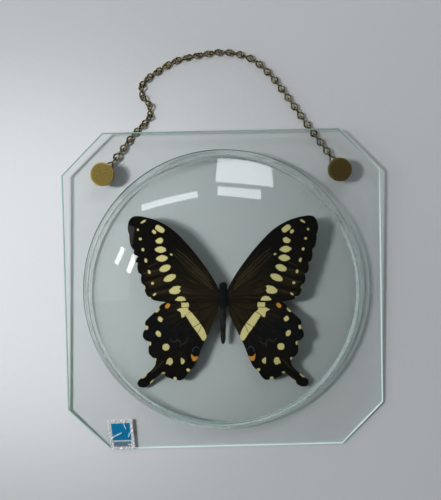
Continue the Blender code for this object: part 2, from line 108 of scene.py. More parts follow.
class NodeGraph:
    """Short calls for adding and wiring nodes in a tree."""

    def __init__(self, tree: bpy.types.NodeTree) -> None:
        """Start from a node tree.

        Args:
            tree: the tree that the nodes go in.
        """
        self.tree = tree

    def add(
        self, kind: str, inputs: dict[str | int, object] | None = None, **settings: object
    ) -> bpy.types.Node:
        """Add a node.

        Args:
            kind: Blender's name of the node type.
            inputs: sockets or values for its inputs, by name or number.
            settings: properties set on the node.

        Returns:
            The new node.
        """
        node = self.tree.nodes.new(kind)
        for name, value in settings.items():
            setattr(node, name, value)
        for name, value in (inputs or {}).items():
            self.feed(node.inputs[name], value)
        return node

    def feed(self, target: bpy.types.NodeSocket, value: object) -> None:
        """Wire a socket to an input, or set the input's own value.

        Args:
            target: the input.
            value: a socket, a number, a vector or a colour of three parts.
        """
        if isinstance(value, bpy.types.NodeSocket):
            self.tree.links.new(value, target)
        elif isinstance(value, tuple) and len(value) == 3 and len(target.default_value) == 4:
            target.default_value = (*value, 1.0)
        else:
            target.default_value = value

    def math(self, operation: str, *values: object, clamp: bool = False) -> bpy.types.NodeSocket:
        """Add a math node.

        Args:
            operation: the operation's name.
            values: sockets or numbers for its inputs.
            clamp: whether the result is held between 0 and 1.

        Returns:
            The result's socket.
        """
        inputs = dict(enumerate(values))
        return self.add("ShaderNodeMath", inputs, operation=operation, use_clamp=clamp).outputs[0]

    def mix(self, factor: object, first: object, second: object) -> bpy.types.NodeSocket:
        """Mix two colours.

        Args:
            factor: share of the second colour, as a socket or a number.
            first: the colour at a factor of 0.
            second: the colour at a factor of 1.

        Returns:
            The colour's socket.
        """
        inputs = {"Factor": factor, MIX_FIRST_COLOUR: first, MIX_SECOND_COLOUR: second}
        return self.add("ShaderNodeMix", inputs, data_type="RGBA").outputs[MIX_COLOUR]

    def spread(
        self, value: object, low: float, high: float, to_low: float, to_high: float
    ) -> bpy.types.NodeSocket:
        """Map a range of values onto another, with soft ends.

        Args:
            value: the value, as a socket.
            low: start of the range.
            high: end of the range.
            to_low: result at and before the start.
            to_high: result at and after the end.

        Returns:
            The result's socket.
        """
        inputs = dict(enumerate((value, low, high, to_low, to_high)))
        return self.add("ShaderNodeMapRange", inputs, interpolation_type="SMOOTHSTEP").outputs[0]

    def attribute(self, name: str) -> bpy.types.NodeSocket:
        """Read a number that the mesh carries on its points."""
        return self.add("ShaderNodeAttribute", attribute_name=name).outputs["Fac"]

    def place(self, scale: tuple[float, float, float] = (1.0, 1.0, 1.0)) -> bpy.types.NodeSocket:
        """Read Object coordinates.

        Args:
            scale: stretch along each axis.

        Returns:
            The coordinates' socket.
        """
        coordinates = self.add("ShaderNodeTexCoord").outputs["Object"]
        return self.add("ShaderNodeMapping", {"Vector": coordinates, "Scale": scale}).outputs[0]

    def noise(
        self, where: object, scale: float, detail: float = 3.0, rough: float = 0.55
    ) -> bpy.types.NodeSocket:
        """Add a noise pattern.

        Args:
            where: the coordinates' socket.
            scale: patches in a metre.
            detail: octaves of finer noise.
            rough: weight of the finer octaves.

        Returns:
            The value's socket.
        """
        inputs = {"Vector": where, "Scale": scale, "Detail": detail, "Roughness": rough}
        return self.add("ShaderNodeTexNoise", inputs).outputs["Fac"]

    def bump(self, height: object, strength: float, distance: float) -> bpy.types.NodeSocket:
        """Make a bump from a height.

        Args:
            height: the height's socket.
            strength: share of the bump that shows.
            distance: depth of a full height, in metres.

        Returns:
            The normal's socket.
        """
        inputs = {"Strength": strength, "Distance": distance, "Height": height}
        return self.add("ShaderNodeBump", inputs).outputs[0]

    def group(self, tree: bpy.types.NodeTree, **values: object) -> bpy.types.Node:
        """Place a node group.

        Args:
            tree: the group.
            values: its inputs, by name.

        Returns:
            The group's node.
        """
        return self.add("ShaderNodeGroup", values, node_tree=tree)


class SharedEffects:
    """Shader groups that more than one finish uses."""

    def __init__(self) -> None:
        """Build the groups once."""
        self.speckle = self._speckle()
        self.cloud = self._cloud()

    @staticmethod
    def _new(name: str, inputs: dict[str, float]) -> tuple[bpy.types.NodeTree, NodeGraph]:
        """Make an empty group with one mask output.

        Args:
            name: the group's name.
            inputs: its number inputs, each with its first value.

        Returns:
            The group and its graph.
        """
        tree = bpy.data.node_groups.new(name, "ShaderNodeTree")
        for label, value in inputs.items():
            socket = tree.interface.new_socket(label, in_out="INPUT", socket_type="NodeSocketFloat")
            socket.default_value = value
        tree.interface.new_socket("Mask", in_out="OUTPUT", socket_type="NodeSocketFloat")
        return tree, NodeGraph(tree)

    def _speckle(self) -> bpy.types.NodeTree:
        """Build fine grains scattered over a surface.

        Returns:
            The group.
        """
        tree, graph = self._new("speckle", {"Scale": 900.0, "Cover": 0.5})
        given = graph.add("NodeGroupInput")
        grain = graph.add("ShaderNodeTexNoise", {
            "Vector": graph.place(), "Scale": given.outputs["Scale"], "Detail": 4.0,
        })
        softness = 0.08
        step = graph.add("ShaderNodeMapRange", {
            "Value": grain.outputs["Fac"],
            "From Min": graph.math("SUBTRACT", given.outputs["Cover"], softness),
            "From Max": graph.math("ADD", given.outputs["Cover"], softness),
        }, interpolation_type="SMOOTHSTEP")
        graph.add("NodeGroupOutput", {"Mask": step.outputs[0]})
        return tree

    def _cloud(self) -> bpy.types.NodeTree:
        """Build broad soft patches, for tarnish and uneven colour.

        Returns:
            The group.
        """
        tree, graph = self._new("cloud", {"Scale": 60.0, "Contrast": 2.0})
        given = graph.add("NodeGroupInput")
        patch = graph.add("ShaderNodeTexNoise", {
            "Vector": graph.place(), "Scale": given.outputs["Scale"], "Detail": 5.0,
        })
        centred = graph.math("SUBTRACT", patch.outputs["Fac"], 0.5)
        scaled = graph.math("MULTIPLY", centred, given.outputs["Contrast"])
        graph.add("NodeGroupOutput", {"Mask": graph.math("ADD", scaled, 0.5, clamp=True)})
        return tree


def new_material(name: str) -> tuple[bpy.types.Material, NodeGraph, bpy.types.Node]:
    """Make a material with an empty Principled shader.

    Args:
        name: the material's name.

    Returns:
        The material, its graph and the shader node.
    """
    material = bpy.data.materials.new(name)
    material.use_nodes = True
    graph = NodeGraph(material.node_tree)
    return material, graph, material.node_tree.nodes["Principled BSDF"]


@dataclass(frozen=True)
class GlassFinish:
    """Clear glass that lets light through to what lies under it.

    A ground edge gets a paler base colour and a faint glow painted on the side away from the lamp:
    painted light, standing in for light that is led inside the glass and comes out there.
    """

    name: str
    roughness: float = 0.0
    ior: float = 1.52
    absorption: Colour = (0.40, 0.86, 0.66)
    density: float = 9.0
    light_through: Colour = (0.975, 0.982, 0.980)
    light_at_edge: Colour = (0.16, 0.22, 0.21)
    base: Colour = (1.0, 1.0, 1.0)
    # painted light on the side away from the lamp: a paler base colour, a glow and the reach of the change
    painted_light_base: Colour | None = None
    painted_glow: Colour = (0.0, 0.0, 0.0)
    painted_light_reach: float = 0.08
    clear: float = 1.0

    def build(self) -> bpy.types.Material:
        """Build the material: refraction to the eye, a tinted veil to shadow rays.

        Returns:
            The material.
        """
        material, graph, shader = new_material(self.name)
        graph.feed(shader.inputs["Base Color"], self.base)
        if self.painted_light_base is not None:
            self._paint_light_far_side(graph, shader)
        shader.inputs["Roughness"].default_value = self.roughness
        shader.inputs["Transmission Weight"].default_value = self.clear
        shader.inputs["IOR"].default_value = self.ior
        facing = graph.add("ShaderNodeLayerWeight", {"Blend": 0.35})
        veil = graph.add("ShaderNodeBsdfTransparent")
        grazing = graph.spread(facing.outputs["Facing"], 0.2, 0.62, 0.0, 1.0)
        graph.feed(veil.inputs["Color"], graph.mix(grazing, self.light_through, self.light_at_edge))
        path = graph.add("ShaderNodeLightPath")
        blend = graph.add("ShaderNodeMixShader", {
            "Fac": path.outputs["Is Shadow Ray"], 1: shader.outputs["BSDF"], 2: veil.outputs["BSDF"],
        })
        depth = graph.add("ShaderNodeVolumeAbsorption", {"Color": self.absorption, "Density": self.density})
        output = material.node_tree.nodes["Material Output"]
        graph.feed(output.inputs["Surface"], blend.outputs[0])
        graph.feed(output.inputs["Volume"], depth.outputs["Volume"])
        return material

    def _paint_light_far_side(self, graph: NodeGraph, shader: bpy.types.Node) -> None:
        """Paint light on the side away from the lamp, which stands at the upper left: a paler base colour
        and a glow.

        Args:
            graph: the material's graph.
            shader: its Principled shader.
        """
        parts = graph.add("ShaderNodeSeparateXYZ", {0: graph.place()})
        away = graph.math("SUBTRACT", parts.outputs["X"], parts.outputs["Y"])
        # mask of the side away from the lamp, where light is painted in as a paler colour and a glow
        far = graph.spread(away, 0.0, self.painted_light_reach, 0.0, 1.0)
        graph.feed(shader.inputs["Base Color"], graph.mix(far, self.base, self.painted_light_base))
        graph.feed(shader.inputs["Emission Color"], graph.mix(far, (0.0, 0.0, 0.0), self.painted_glow))
        shader.inputs["Emission Strength"].default_value = 1.0


@dataclass(frozen=True)
class AdhesiveFinish:
    """Clear cured adhesive, whitish in patches."""

    name: str = "clear_adhesive"
    milk: Colour = (0.86, 0.88, 0.87)
    milky_to: float = -0.095
    clear_from: float = -0.06
    milky_share: float = 0.3
    clear_share: float = 0.02

    def build(self, effects: SharedEffects) -> bpy.types.Material:
        """Build the material, milkiest at the lower left.

        Args:
            effects: the shared shader groups.

        Returns:
            The material.
        """
        material, graph, shader = new_material(self.name)
        patches = graph.group(effects.cloud, Scale=55.0, Contrast=5.0).outputs[0]
        strands = graph.noise(graph.place(), 420.0, 3.0)
        milk = graph.math("MULTIPLY", patches, graph.spread(strands, 0.42, 0.62, 0.0, 1.0))
        graph.feed(shader.inputs["Base Color"], self.milk)
        parts = graph.add("ShaderNodeSeparateXYZ", {0: graph.place()})
        along = graph.math("ADD", parts.outputs["X"], parts.outputs["Y"])
        share = graph.spread(along, self.milky_to, self.clear_from, self.milky_share, self.clear_share)
        graph.feed(shader.inputs["Alpha"], graph.math("MULTIPLY", milk, share))
        shader.inputs["Roughness"].default_value = 0.3
        return material


@dataclass(frozen=True)
class AgedMetalFinish:
    """Antique plated metal, speckled dark in its grain."""

    name: str
    bright: Colour
    dark: Colour
    crust: float = 0.3
    grain: float = 1400.0
    cover: float = 0.5
    roughness: float = 0.34
    bump: float = 0.12
    bump_depth: float = 0.00006
    tarnish: float = 0.3
    bare: float = 0.75
    # strength of the rim's brightening: wear together with a painted highlight
    worn: float = 0.9
    dull: float = 0.2

    def build(self, effects: SharedEffects) -> bpy.types.Material:
        """Build the material.

        Args:
            effects: the shared shader groups.

        Returns:
            The material.
        """
        material, graph, shader = new_material(self.name)
        fine = graph.group(effects.speckle, Scale=self.grain, Cover=self.cover).outputs[0]
        tarnish = graph.group(effects.cloud, Scale=260.0, Contrast=2.2).outputs[0]
        base = graph.mix(fine, self.dark, self.bright)
        # brighten the rim where the mesh marks it: wear together with a painted highlight
        base = graph.mix(graph.math("MULTIPLY", graph.attribute("wear"), self.worn), base, self.bright)
        worn = graph.mix(graph.math("MULTIPLY", tarnish, self.tarnish), base, self.dark)
        graph.feed(shader.inputs["Base Color"], worn)
        graph.feed(shader.inputs["Metallic"], graph.spread(fine, 0.0, 1.0, self.crust, self.bare))
        rough = graph.spread(fine, 0.0, 1.0, self.roughness + self.dull, self.roughness)
        graph.feed(shader.inputs["Roughness"], rough)
        graph.feed(shader.inputs["Normal"], graph.bump(fine, self.bump, self.bump_depth))
        return material


@dataclass(frozen=True)
class WingFinish:
    """Wing scales: brown-black ground, markings read from the wing's own distances."""

    name: str = "wing_scales"
    brown: Colour = (0.0165, 0.0106, 0.0042)
    pale: Colour = (0.055, 0.039, 0.019)
    black: Colour = (0.0032, 0.0020, 0.0013)
    blue_black: Colour = (0.0030, 0.0035, 0.0052)
    cream: Colour = (0.74, 0.635, 0.28)
    orange: Colour = (0.66, 0.275, 0.042)
    sky: Colour = (0.035, 0.075, 0.135)
    rust: Colour = (0.085, 0.062, 0.030)
    scale_grain: float = 5200.0
    ragged_grain: float = 1500.0
    rays_per_radian: float = 46.0
    ray_stretch: float = 0.09
    edge_wobble: float = 0.55

    def build(self, effects: SharedEffects) -> bpy.types.Material:
        """Build the material.

        Args:
            effects: the shared shader groups.

        Returns:
            The material.
        """
        material, graph, shader = new_material(self.name)
        scales = graph.noise(graph.place(), self.scale_grain, 2.0)
        ragged = graph.noise(graph.place(), self.ragged_grain, 3.0)
        colour = self._ground(graph, effects)
        colour = self._veins_and_streaks(graph, colour, ragged)
        colour = self._markings(graph, colour, scales, ragged)
        shimmer = graph.spread(scales, 0.35, 0.75, 0.75, 1.25)
        lit = graph.add("ShaderNodeHueSaturation", {"Value": shimmer, "Color": colour})
        graph.feed(shader.inputs["Base Color"], lit.outputs[0])
        graph.feed(shader.inputs["Roughness"], graph.spread(scales, 0.3, 0.7, 0.62, 0.85))
        shader.inputs["Specular IOR Level"].default_value = 0.1
        shader.inputs["Sheen Weight"].default_value = 0.015
        shader.inputs["Sheen Roughness"].default_value = 0.4
        relief = graph.math("ADD", scales, graph.math("MULTIPLY", ragged, 0.6))
        graph.feed(shader.inputs["Normal"], graph.bump(relief, 0.35, 0.00005))
        return material

    def _ground(self, graph: NodeGraph, effects: SharedEffects) -> bpy.types.NodeSocket:
        """Colour the ground: black, brown in patches, blue-black, and fine rays from the root.

        Args:
            graph: the material's graph.
            effects: the shared shader groups.

        Returns:
            The colour's socket.
        """
        patches = graph.group(effects.cloud, Scale=130.0, Contrast=2.4).outputs[0]
        browning = graph.spread(patches, 0, 1, 0.6, 1.25)
        browning = graph.math("MULTIPLY", graph.attribute("brown"), browning)
        colour = graph.mix(browning, self.black, self.brown)
        colour = graph.mix(graph.attribute("blue_shade"), colour, self.blue_black)
        fan = graph.add("ShaderNodeCombineXYZ")
        angle = graph.math("MULTIPLY", graph.attribute("ray_angle"), self.rays_per_radian)
        reach = graph.math("MULTIPLY", graph.attribute("ray_reach"), self.ray_stretch)
        graph.feed(fan.inputs["X"], angle)
        graph.feed(fan.inputs["Y"], reach)
        lines = graph.noise(fan.outputs[0], 1.0, 3.0, 0.7)
        shown = graph.spread(lines, 0.54, 0.66, 0.0, 0.7)
        colour = graph.mix(graph.math("MULTIPLY", graph.attribute("rays"), shown), colour, self.pale)
        dulled = graph.spread(lines, 0.36, 0.47, 0.85, 0.0)
        return graph.mix(graph.math("MULTIPLY", graph.attribute("rays"), dulled), colour, self.black)

    def _veins_and_streaks(
        self, graph: NodeGraph, colour: bpy.types.NodeSocket, ragged: bpy.types.NodeSocket
    ) -> bpy.types.NodeSocket:
        """Draw dark veins and rusty streaks over the ground.

        Args:
            graph: the material's graph.
            colour: the ground's colour.
            ragged: noise that breaks the streaks up.

        Returns:
            The colour's socket.
        """
        vein = graph.spread(graph.attribute("vein"), 0.10, 0.42, 0.75, 0.0)
        colour = graph.mix(vein, colour, self.black)
        broken = graph.spread(ragged, 0.3, 0.7, 0.3, 1.0)
        return graph.mix(graph.math("MULTIPLY", graph.attribute("streak"), broken), colour, self.rust)

    def _markings(
        self,
        graph: NodeGraph,
        colour: bpy.types.NodeSocket,
        scales: bpy.types.NodeSocket,
        ragged: bpy.types.NodeSocket,
    ) -> bpy.types.NodeSocket:
        """Lay the blue, orange and cream markings on, with slightly ragged edges.

        Args:
            graph: the material's graph.
            colour: the colour under them.
            scales: noise of single scales.
            ragged: noise that frays the edges.

        Returns:
            The colour's socket.
        """
        wobble = graph.math("MULTIPLY", graph.math("SUBTRACT", ragged, 0.5), self.edge_wobble)
        for label, paint in (("sky", self.sky), ("orange", self.orange), ("cream", self.cream)):
            distance = graph.math("ADD", graph.attribute(label), wobble)
            inside = graph.spread(distance, -0.14, 0.10, 1.0, 0.0)
            toned = graph.mix(graph.spread(scales, 0.3, 0.7, 0.0, 0.28), paint, self.brown)
            colour = graph.mix(inside, colour, toned)
        return colour


@dataclass(frozen=True)
class FurFinish:
    """Short insect fur, blue-black with brown in it."""

    name: str = "body_fur"
    dark: Colour = (0.0020, 0.0034, 0.0060)
    brown: Colour = (0.022, 0.018, 0.011)

    def build(self, effects: SharedEffects) -> bpy.types.Material:
        """Build the material.

        Args:
            effects: the shared shader groups.

        Returns:
            The material.
        """
        material, graph, shader = new_material(self.name)
        tufts = graph.group(effects.speckle, Scale=1100.0, Cover=0.52).outputs[0]
        share = graph.math("MULTIPLY", tufts, graph.attribute("brown"))
        graph.feed(shader.inputs["Base Color"], graph.mix(share, self.dark, self.brown))
        graph.feed(shader.inputs["Roughness"], graph.spread(tufts, 0.0, 1.0, 0.55, 0.75))
        shader.inputs["Sheen Weight"].default_value = 0.03
        shader.inputs["Sheen Tint"].default_value = (0.55, 0.70, 1.0, 1.0)
        graph.feed(shader.inputs["Normal"], graph.bump(tufts, 0.4, 0.00008))
        return material


@dataclass(frozen=True)
class FoilFinish:
    """Crinkled silver foil with a printed blue panel."""

    name: str = "foil"
    silver: Colour = (0.88, 0.90, 0.92)
    blue: Colour = (0.0, 0.125, 0.27)
    grey_blue: Colour = (0.20, 0.30, 0.38)
    panel: tuple[float, float, float, float] = (0.12, 0.88, 0.30, 0.88)
    band: tuple[float, float, float, float] = (0.14, 0.86, 0.09, 0.26)
    print_edge: float = 0.01

    def _inside(
        self, graph: NodeGraph, parts: bpy.types.Node, box: tuple[float, float, float, float]
    ) -> bpy.types.NodeSocket:
        """Mask a printed rectangle.

        Args:
            graph: the material's graph.
            parts: the node that splits the label's UV map.
            box: left, right, low and high sides of the rectangle.

        Returns:
            The mask's socket, 1 inside the rectangle.
        """
        left, right, low, high = box
        edge = self.print_edge
        across, up = parts.outputs["X"], parts.outputs["Y"]
        mask = graph.spread(across, left - edge, left + edge, 0.0, 1.0)
        sides = ((across, right, 1.0, 0.0), (up, low, 0.0, 1.0), (up, high, 1.0, 0.0))
        for place, side, before, after in sides:
            mask = graph.math("MULTIPLY", mask, graph.spread(place, side - edge, side + edge, before, after))
        return mask

    def build(self, effects: SharedEffects) -> bpy.types.Material:
        """Build the material.

        Args:
            effects: the shared shader groups.

        Returns:
            The material.
        """
        material, graph, shader = new_material(self.name)
        parts = graph.add("ShaderNodeSeparateXYZ", {
            0: graph.add("ShaderNodeUVMap", uv_map="label").outputs[0],
        })
        panel = self._inside(graph, parts, self.panel)
        band = self._inside(graph, parts, self.band)
        cracked = graph.spread(graph.attribute("crease"), 0.65, 0.95, 1.0, 0.0)
        printed = graph.math("MULTIPLY", panel, cracked)
        colour = graph.mix(graph.math("MULTIPLY", band, cracked), self.silver, self.grey_blue)
        graph.feed(shader.inputs["Base Color"], graph.mix(printed, colour, self.blue))
        graph.feed(shader.inputs["Metallic"], graph.spread(printed, 0.0, 1.0, 0.6, 0.1))
        graph.feed(shader.inputs["Roughness"], graph.spread(printed, 0.0, 1.0, 0.2, 0.38))
        crinkle = graph.noise(graph.place(), 900.0, 4.0, 0.6)
        graph.feed(shader.inputs["Normal"], graph.bump(crinkle, 0.5, 0.0002))
        return material


@dataclass(frozen=True)
class FloorFinish:
    """Pale table top, very slightly mottled."""

    name: str = "pale_floor"
    colour: Colour = (0.462, 0.473, 0.487)

    def build(self, effects: SharedEffects) -> bpy.types.Material:
        """Build the material.

        Args:
            effects: the shared shader groups.

        Returns:
            The material.
        """
        material, graph, shader = new_material(self.name)
        mottle = graph.group(effects.cloud, Scale=420.0, Contrast=1.2).outputs[0]
        darker = tuple(0.96 * part for part in self.colour)
        graph.feed(shader.inputs["Base Color"], graph.mix(mottle, darker, self.colour))
        shader.inputs["Roughness"].default_value = 0.55
        shader.inputs["Specular IOR Level"].default_value = 0.3
        return material


@dataclass
class Finishes:
    """Every finish, built once."""

    effects: SharedEffects = field(default_factory=SharedEffects)

    def __post_init__(self) -> None:
        """Build the materials."""
        self.glass = GlassFinish("clear_glass").build()
        domed = GlassFinish("domed_glass", density=15.0, light_through=(0.935, 0.947, 0.943))
        self.domed_glass = domed.build()
        shade = (0.26, 0.34, 0.32)
        # the ground edge gets painted light: paler and glowing on the side away from the lamp
        ground = GlassFinish(
            "ground_edge",
            roughness=0.05,
            light_through=shade,
            base=(0.34, 0.50, 0.46),
            painted_light_base=(0.80, 0.94, 0.91),
            painted_glow=(0.165, 0.20, 0.195),
            clear=0.6,
        )
        # the dome's ground foot gets painted light: paler and glowing on the side away from the lamp
        foot = GlassFinish(
            "ground_foot",
            roughness=0.03,
            light_through=shade,
            base=(0.20, 0.32, 0.29),
            painted_light_base=(0.55, 0.72, 0.68),
            painted_glow=(0.145, 0.18, 0.175),
        )
        self.ground_glass = ground.build()
        self.ground_foot = foot.build()
        self.adhesive = AdhesiveFinish().build(self.effects)
        brass = AgedMetalFinish(
            "antique_brass", bright=(0.43, 0.32, 0.085), dark=(0.17, 0.122, 0.03), grain=1500.0
        )
        # darker copy of the brass for the right stud: painted shade, as less light reaches that side
        shaded_brass = AgedMetalFinish(
            "painted_shade_brass", bright=(0.135, 0.096, 0.023), dark=(0.055, 0.037, 0.009), grain=1500.0
        )
        # the right stud takes the painted-shade copy of the brass
        self.brass = {Side.LEFT: brass.build(self.effects), Side.RIGHT: shaded_brass.build(self.effects)}
        bronze = AgedMetalFinish(
            "bronze_wire",
            bright=(0.62, 0.50, 0.26),
            dark=(0.016, 0.012, 0.005),
            crust=0.8,
            grain=1000.0,
            roughness=0.26,
            bare=0.97,
        )
        self.bronze = bronze.build(self.effects)
        self.wing = WingFinish().build(self.effects)
        self.fur = FurFinish().build(self.effects)
        self.foil = FoilFinish().build(self.effects)
        self.floor = FloorFinish().build(self.effects)


def add_piece(name: str, mesh: bpy.types.Mesh, *materials: bpy.types.Material) -> bpy.types.Object:
    """Put a mesh in the scene as a piece at the origin.

    Args:
        name: the piece's name.
        mesh: its mesh, already in the part's frame.
        materials: its materials, in slot order.

    Returns:
        The piece.
    """
    if mesh.materials:
        mesh.materials.clear()
    for material in materials:
        mesh.materials.append(material)
    piece = bpy.data.objects.new(name, mesh)
    bpy.context.scene.collection.objects.link(piece)
    return piece


def finish_piece(piece: bpy.types.Object, slot: str, *nodes: str) -> bpy.types.Object:
    """Fix a piece to the frame's body and say which nodes it stands for.

    Args:
        piece: the finished piece.
        slot: not used.
        nodes: the nodes that it replaces.

    Returns:
        The piece.
    """
    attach(piece, BODY)
    if nodes:
        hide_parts(*nodes)
    count = len(piece.data.polygons)
    LOG.info("%s: %d faces, stands for %s", piece.name, count, ", ".join(nodes) or "nothing")
    return piece


def plain_mesh(item: bpy.types.Object, name: str) -> bpy.types.Mesh:
    """Take an object's mesh with its modifiers applied, and remove the object.

    Args:
        item: the object, which goes with its modifiers.
        name: the mesh's name.

    Returns:
        The mesh.
    """
    bpy.context.view_layer.update()
    graph = bpy.context.evaluated_depsgraph_get()
    mesh = bpy.data.meshes.new_from_object(item.evaluated_get(graph))
    mesh.name = name
    bpy.data.objects.remove(item, do_unlink=True)
    return mesh


def turned_mesh(name: str, profile: Sequence[Point2], segments: int, matrix: Matrix) -> bpy.types.Mesh:
    """Turn a profile about the Z axis into a closed mesh.

    Args:
        name: the mesh's name.
        profile: (radius, height) points; a radius of 0 closes the form at a pole.
        segments: faces round the form.
        matrix: where the form's own axis stands.

    Returns:
        The mesh, smooth with its sharp edges kept.
    """
    work = bmesh.new()
    rings = []
    for radius, height in profile:
        if radius == 0.0:
            rings.append([work.verts.new((0.0, 0.0, height))] * segments)
            continue
        turn = [2 * math.pi * k / segments for k in range(segments)]
        rings.append([work.verts.new((radius * math.cos(a), radius * math.sin(a), height)) for a in turn])
    loops = list(zip(rings, rings[1:]))
    if profile[0][0] and profile[-1][0]:
        loops.append((rings[-1], rings[0]))
    for upper, lower in loops:
        for k in range(segments):
            nxt = (k + 1) % segments
            corners = dict.fromkeys((upper[k], upper[nxt], lower[nxt], lower[k]))
            work.faces.new(list(corners))
    bmesh.ops.recalc_face_normals(work, faces=work.faces)
    work.transform(matrix)
    mesh = bpy.data.meshes.new(name)
    work.to_mesh(mesh)
    work.free()
    mesh.shade_smooth()
    mesh.set_sharp_from_angle(angle=TURNED_SHARP_ANGLE)
    return mesh


def arc_points(centre: Point2, radius: float, start: float, end: float, count: int) -> list[Point2]:
    """Make an arc, with angles measured from the vertical.

    Args:
        centre: its centre.
        radius: its radius.
        start: angle of the first point.
        end: angle of the last point.
        count: number of points.

    Returns:
        The arc's points.
    """
    angles = (start + (end - start) * k / (count - 1) for k in range(count))
    return [(centre[0] + radius * math.sin(a), centre[1] + radius * math.cos(a)) for a in angles]


def catmull_rom(points: Sequence[Vector], steps: int, closed: bool) -> list[Vector]:
    """Smooth curve through points.

    Args:
        points: the points, in order.
        steps: points made for each given one.
        closed: whether the curve comes back to its start.

    Returns:
        The curve's points.
    """
    count = len(points)
    spans = count if closed else count - 1
    result = []
    for index in range(spans):
        picks = [index - 1, index, index + 1, index + 2]
        if closed:
            before, start, end, after = (points[k % count] for k in picks)
        else:
            before, start, end, after = (points[min(max(k, 0), count - 1)] for k in picks)
        for step in range(steps):
            t = step / steps
            bend = (2 * before - 5 * start + 4 * end - after) * t * t
            twist = (3 * start - before - 3 * end + after) * t * t * t
            result.append(0.5 * (2 * start + (end - before) * t + bend + twist))
    if not closed:
        result.append(points[-1].copy())
    return result


def ease(value: float | np.ndarray) -> float | np.ndarray:
    """Smooth step from 0 to 1."""
    value = np.clip(value, 0.0, 1.0)
    return value * value * (3 - 2 * value)


@dataclass(frozen=True)
class PlateFrame:
    """Where the tilted plate lies, from its node's box and its own sizes."""

    side: float = 0.170
    chamfer: float = 0.0222
    thickness: float = 0.0022
    rear_height: float = 0.0065
    stud_inset: float = 0.022
    disc_radius: float = 0.005

    @property
    def tilt(self) -> float:
        """Angle between the plate and the table."""
        return math.atan2(self.rear_height, self.side - self.stud_inset - self.disc_radius)

    @property
    def matrix(self) -> Matrix:
        """Frame at the middle of the plate's top face, Z out of the glass.

        Returns:
            The frame's matrix.
        """
        low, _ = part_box("plate_glass")
        half = self.side / 2
        y = low[1] + half * math.cos(self.tilt)
        z = low[2] + half * math.sin(self.tilt) + self.thickness * math.cos(self.tilt)
        return Matrix.Translation((0.0, y, z)) @ Matrix.Rotation(self.tilt, 4, "X")

    def stud(self, side: Side) -> Matrix:
        """Frame of a stud, on the plate's top face."""
        reach = self.side / 2 - self.stud_inset
        return self.matrix @ Matrix.Translation((side.value * reach, reach, 0.0))


@dataclass
class GlassPlate:
    """Octagonal glass plate with ground edges and two bored holes."""

    place: PlateFrame
    rounding: float = 0.00070
    rounding_steps: int = 5
    hole_radius: float = 0.0016
    hole_points: int = 48
    flat_normal: float = 0.9999

    def build(self, finishes: Finishes) -> bpy.types.Object:
        """Build the plate and dress its faces and edges.

        Args:
            finishes: every finish.

        Returns:
            The piece.
        """
        mesh = self._rounded_slab()
        work = bmesh.new()
        work.from_mesh(mesh)
        bmesh.ops.remove_doubles(work, verts=work.verts, dist=MERGE_DISTANCE)
        bmesh.ops.recalc_face_normals(work, faces=work.faces)
        for face in work.faces:
            flat = abs(face.normal.z) > self.flat_normal
            face.material_index = (Face.FLAT if flat else Face.GROUND).value
        work.transform(self.place.matrix @ Matrix.Translation((0.0, 0.0, -self.place.thickness / 2)))
        work.to_mesh(mesh)
        work.free()
        mesh.set_sharp_from_angle(angle=PLATE_SHARP_ANGLE)
        for polygon in mesh.polygons:
            polygon.use_smooth = polygon.material_index == Face.GROUND.value
        piece = add_piece("glass_plate", mesh, finishes.glass, finishes.ground_glass)
        return finish_piece(piece, "clear_glass", "plate_glass")

    def _rounded_slab(self) -> bpy.types.Mesh:
        """Make the octagon with its holes a slab with rounded edges.

        Returns:
            The slab's mesh, flat and centred on the origin.
        """
        half = self.place.side / 2
        cut = half - self.place.chamfer
        octagon = [(-cut, half), (cut, half), (half, cut), (half, -cut)]
        octagon += [(cut, -half), (-cut, -half), (-half, -cut), (-half, cut)]
        reach = half - self.place.stud_inset
        outlines = [octagon] + [self._hole(side.value * reach, reach) for side in Side]
        curve = bpy.data.curves.new("plate", "CURVE")
        curve.dimensions = "2D"
        curve.fill_mode = "BOTH"
        curve.extrude = self.place.thickness / 2 - self.rounding
        curve.bevel_depth = self.rounding
        curve.bevel_resolution = self.rounding_steps
        curve.offset = -self.rounding
        for outline in outlines:
            spline = curve.splines.new("POLY")
            spline.points.add(len(outline) - 1)
            spline.use_cyclic_u = True
            for point, (x, y) in zip(spline.points, outline):
                point.co = (x, y, 0.0, 1.0)
        holder = bpy.data.objects.new("plate", curve)
        bpy.context.scene.collection.objects.link(holder)
        return plain_mesh(holder, "plate")

    def _hole(self, x: float, y: float) -> list[Point2]:
        """Points round a bored hole."""
        turn = (2 * math.pi * k / self.hole_points for k in range(self.hole_points))
        return [(x + self.hole_radius * math.cos(a), y + self.hole_radius * math.sin(a)) for a in turn]


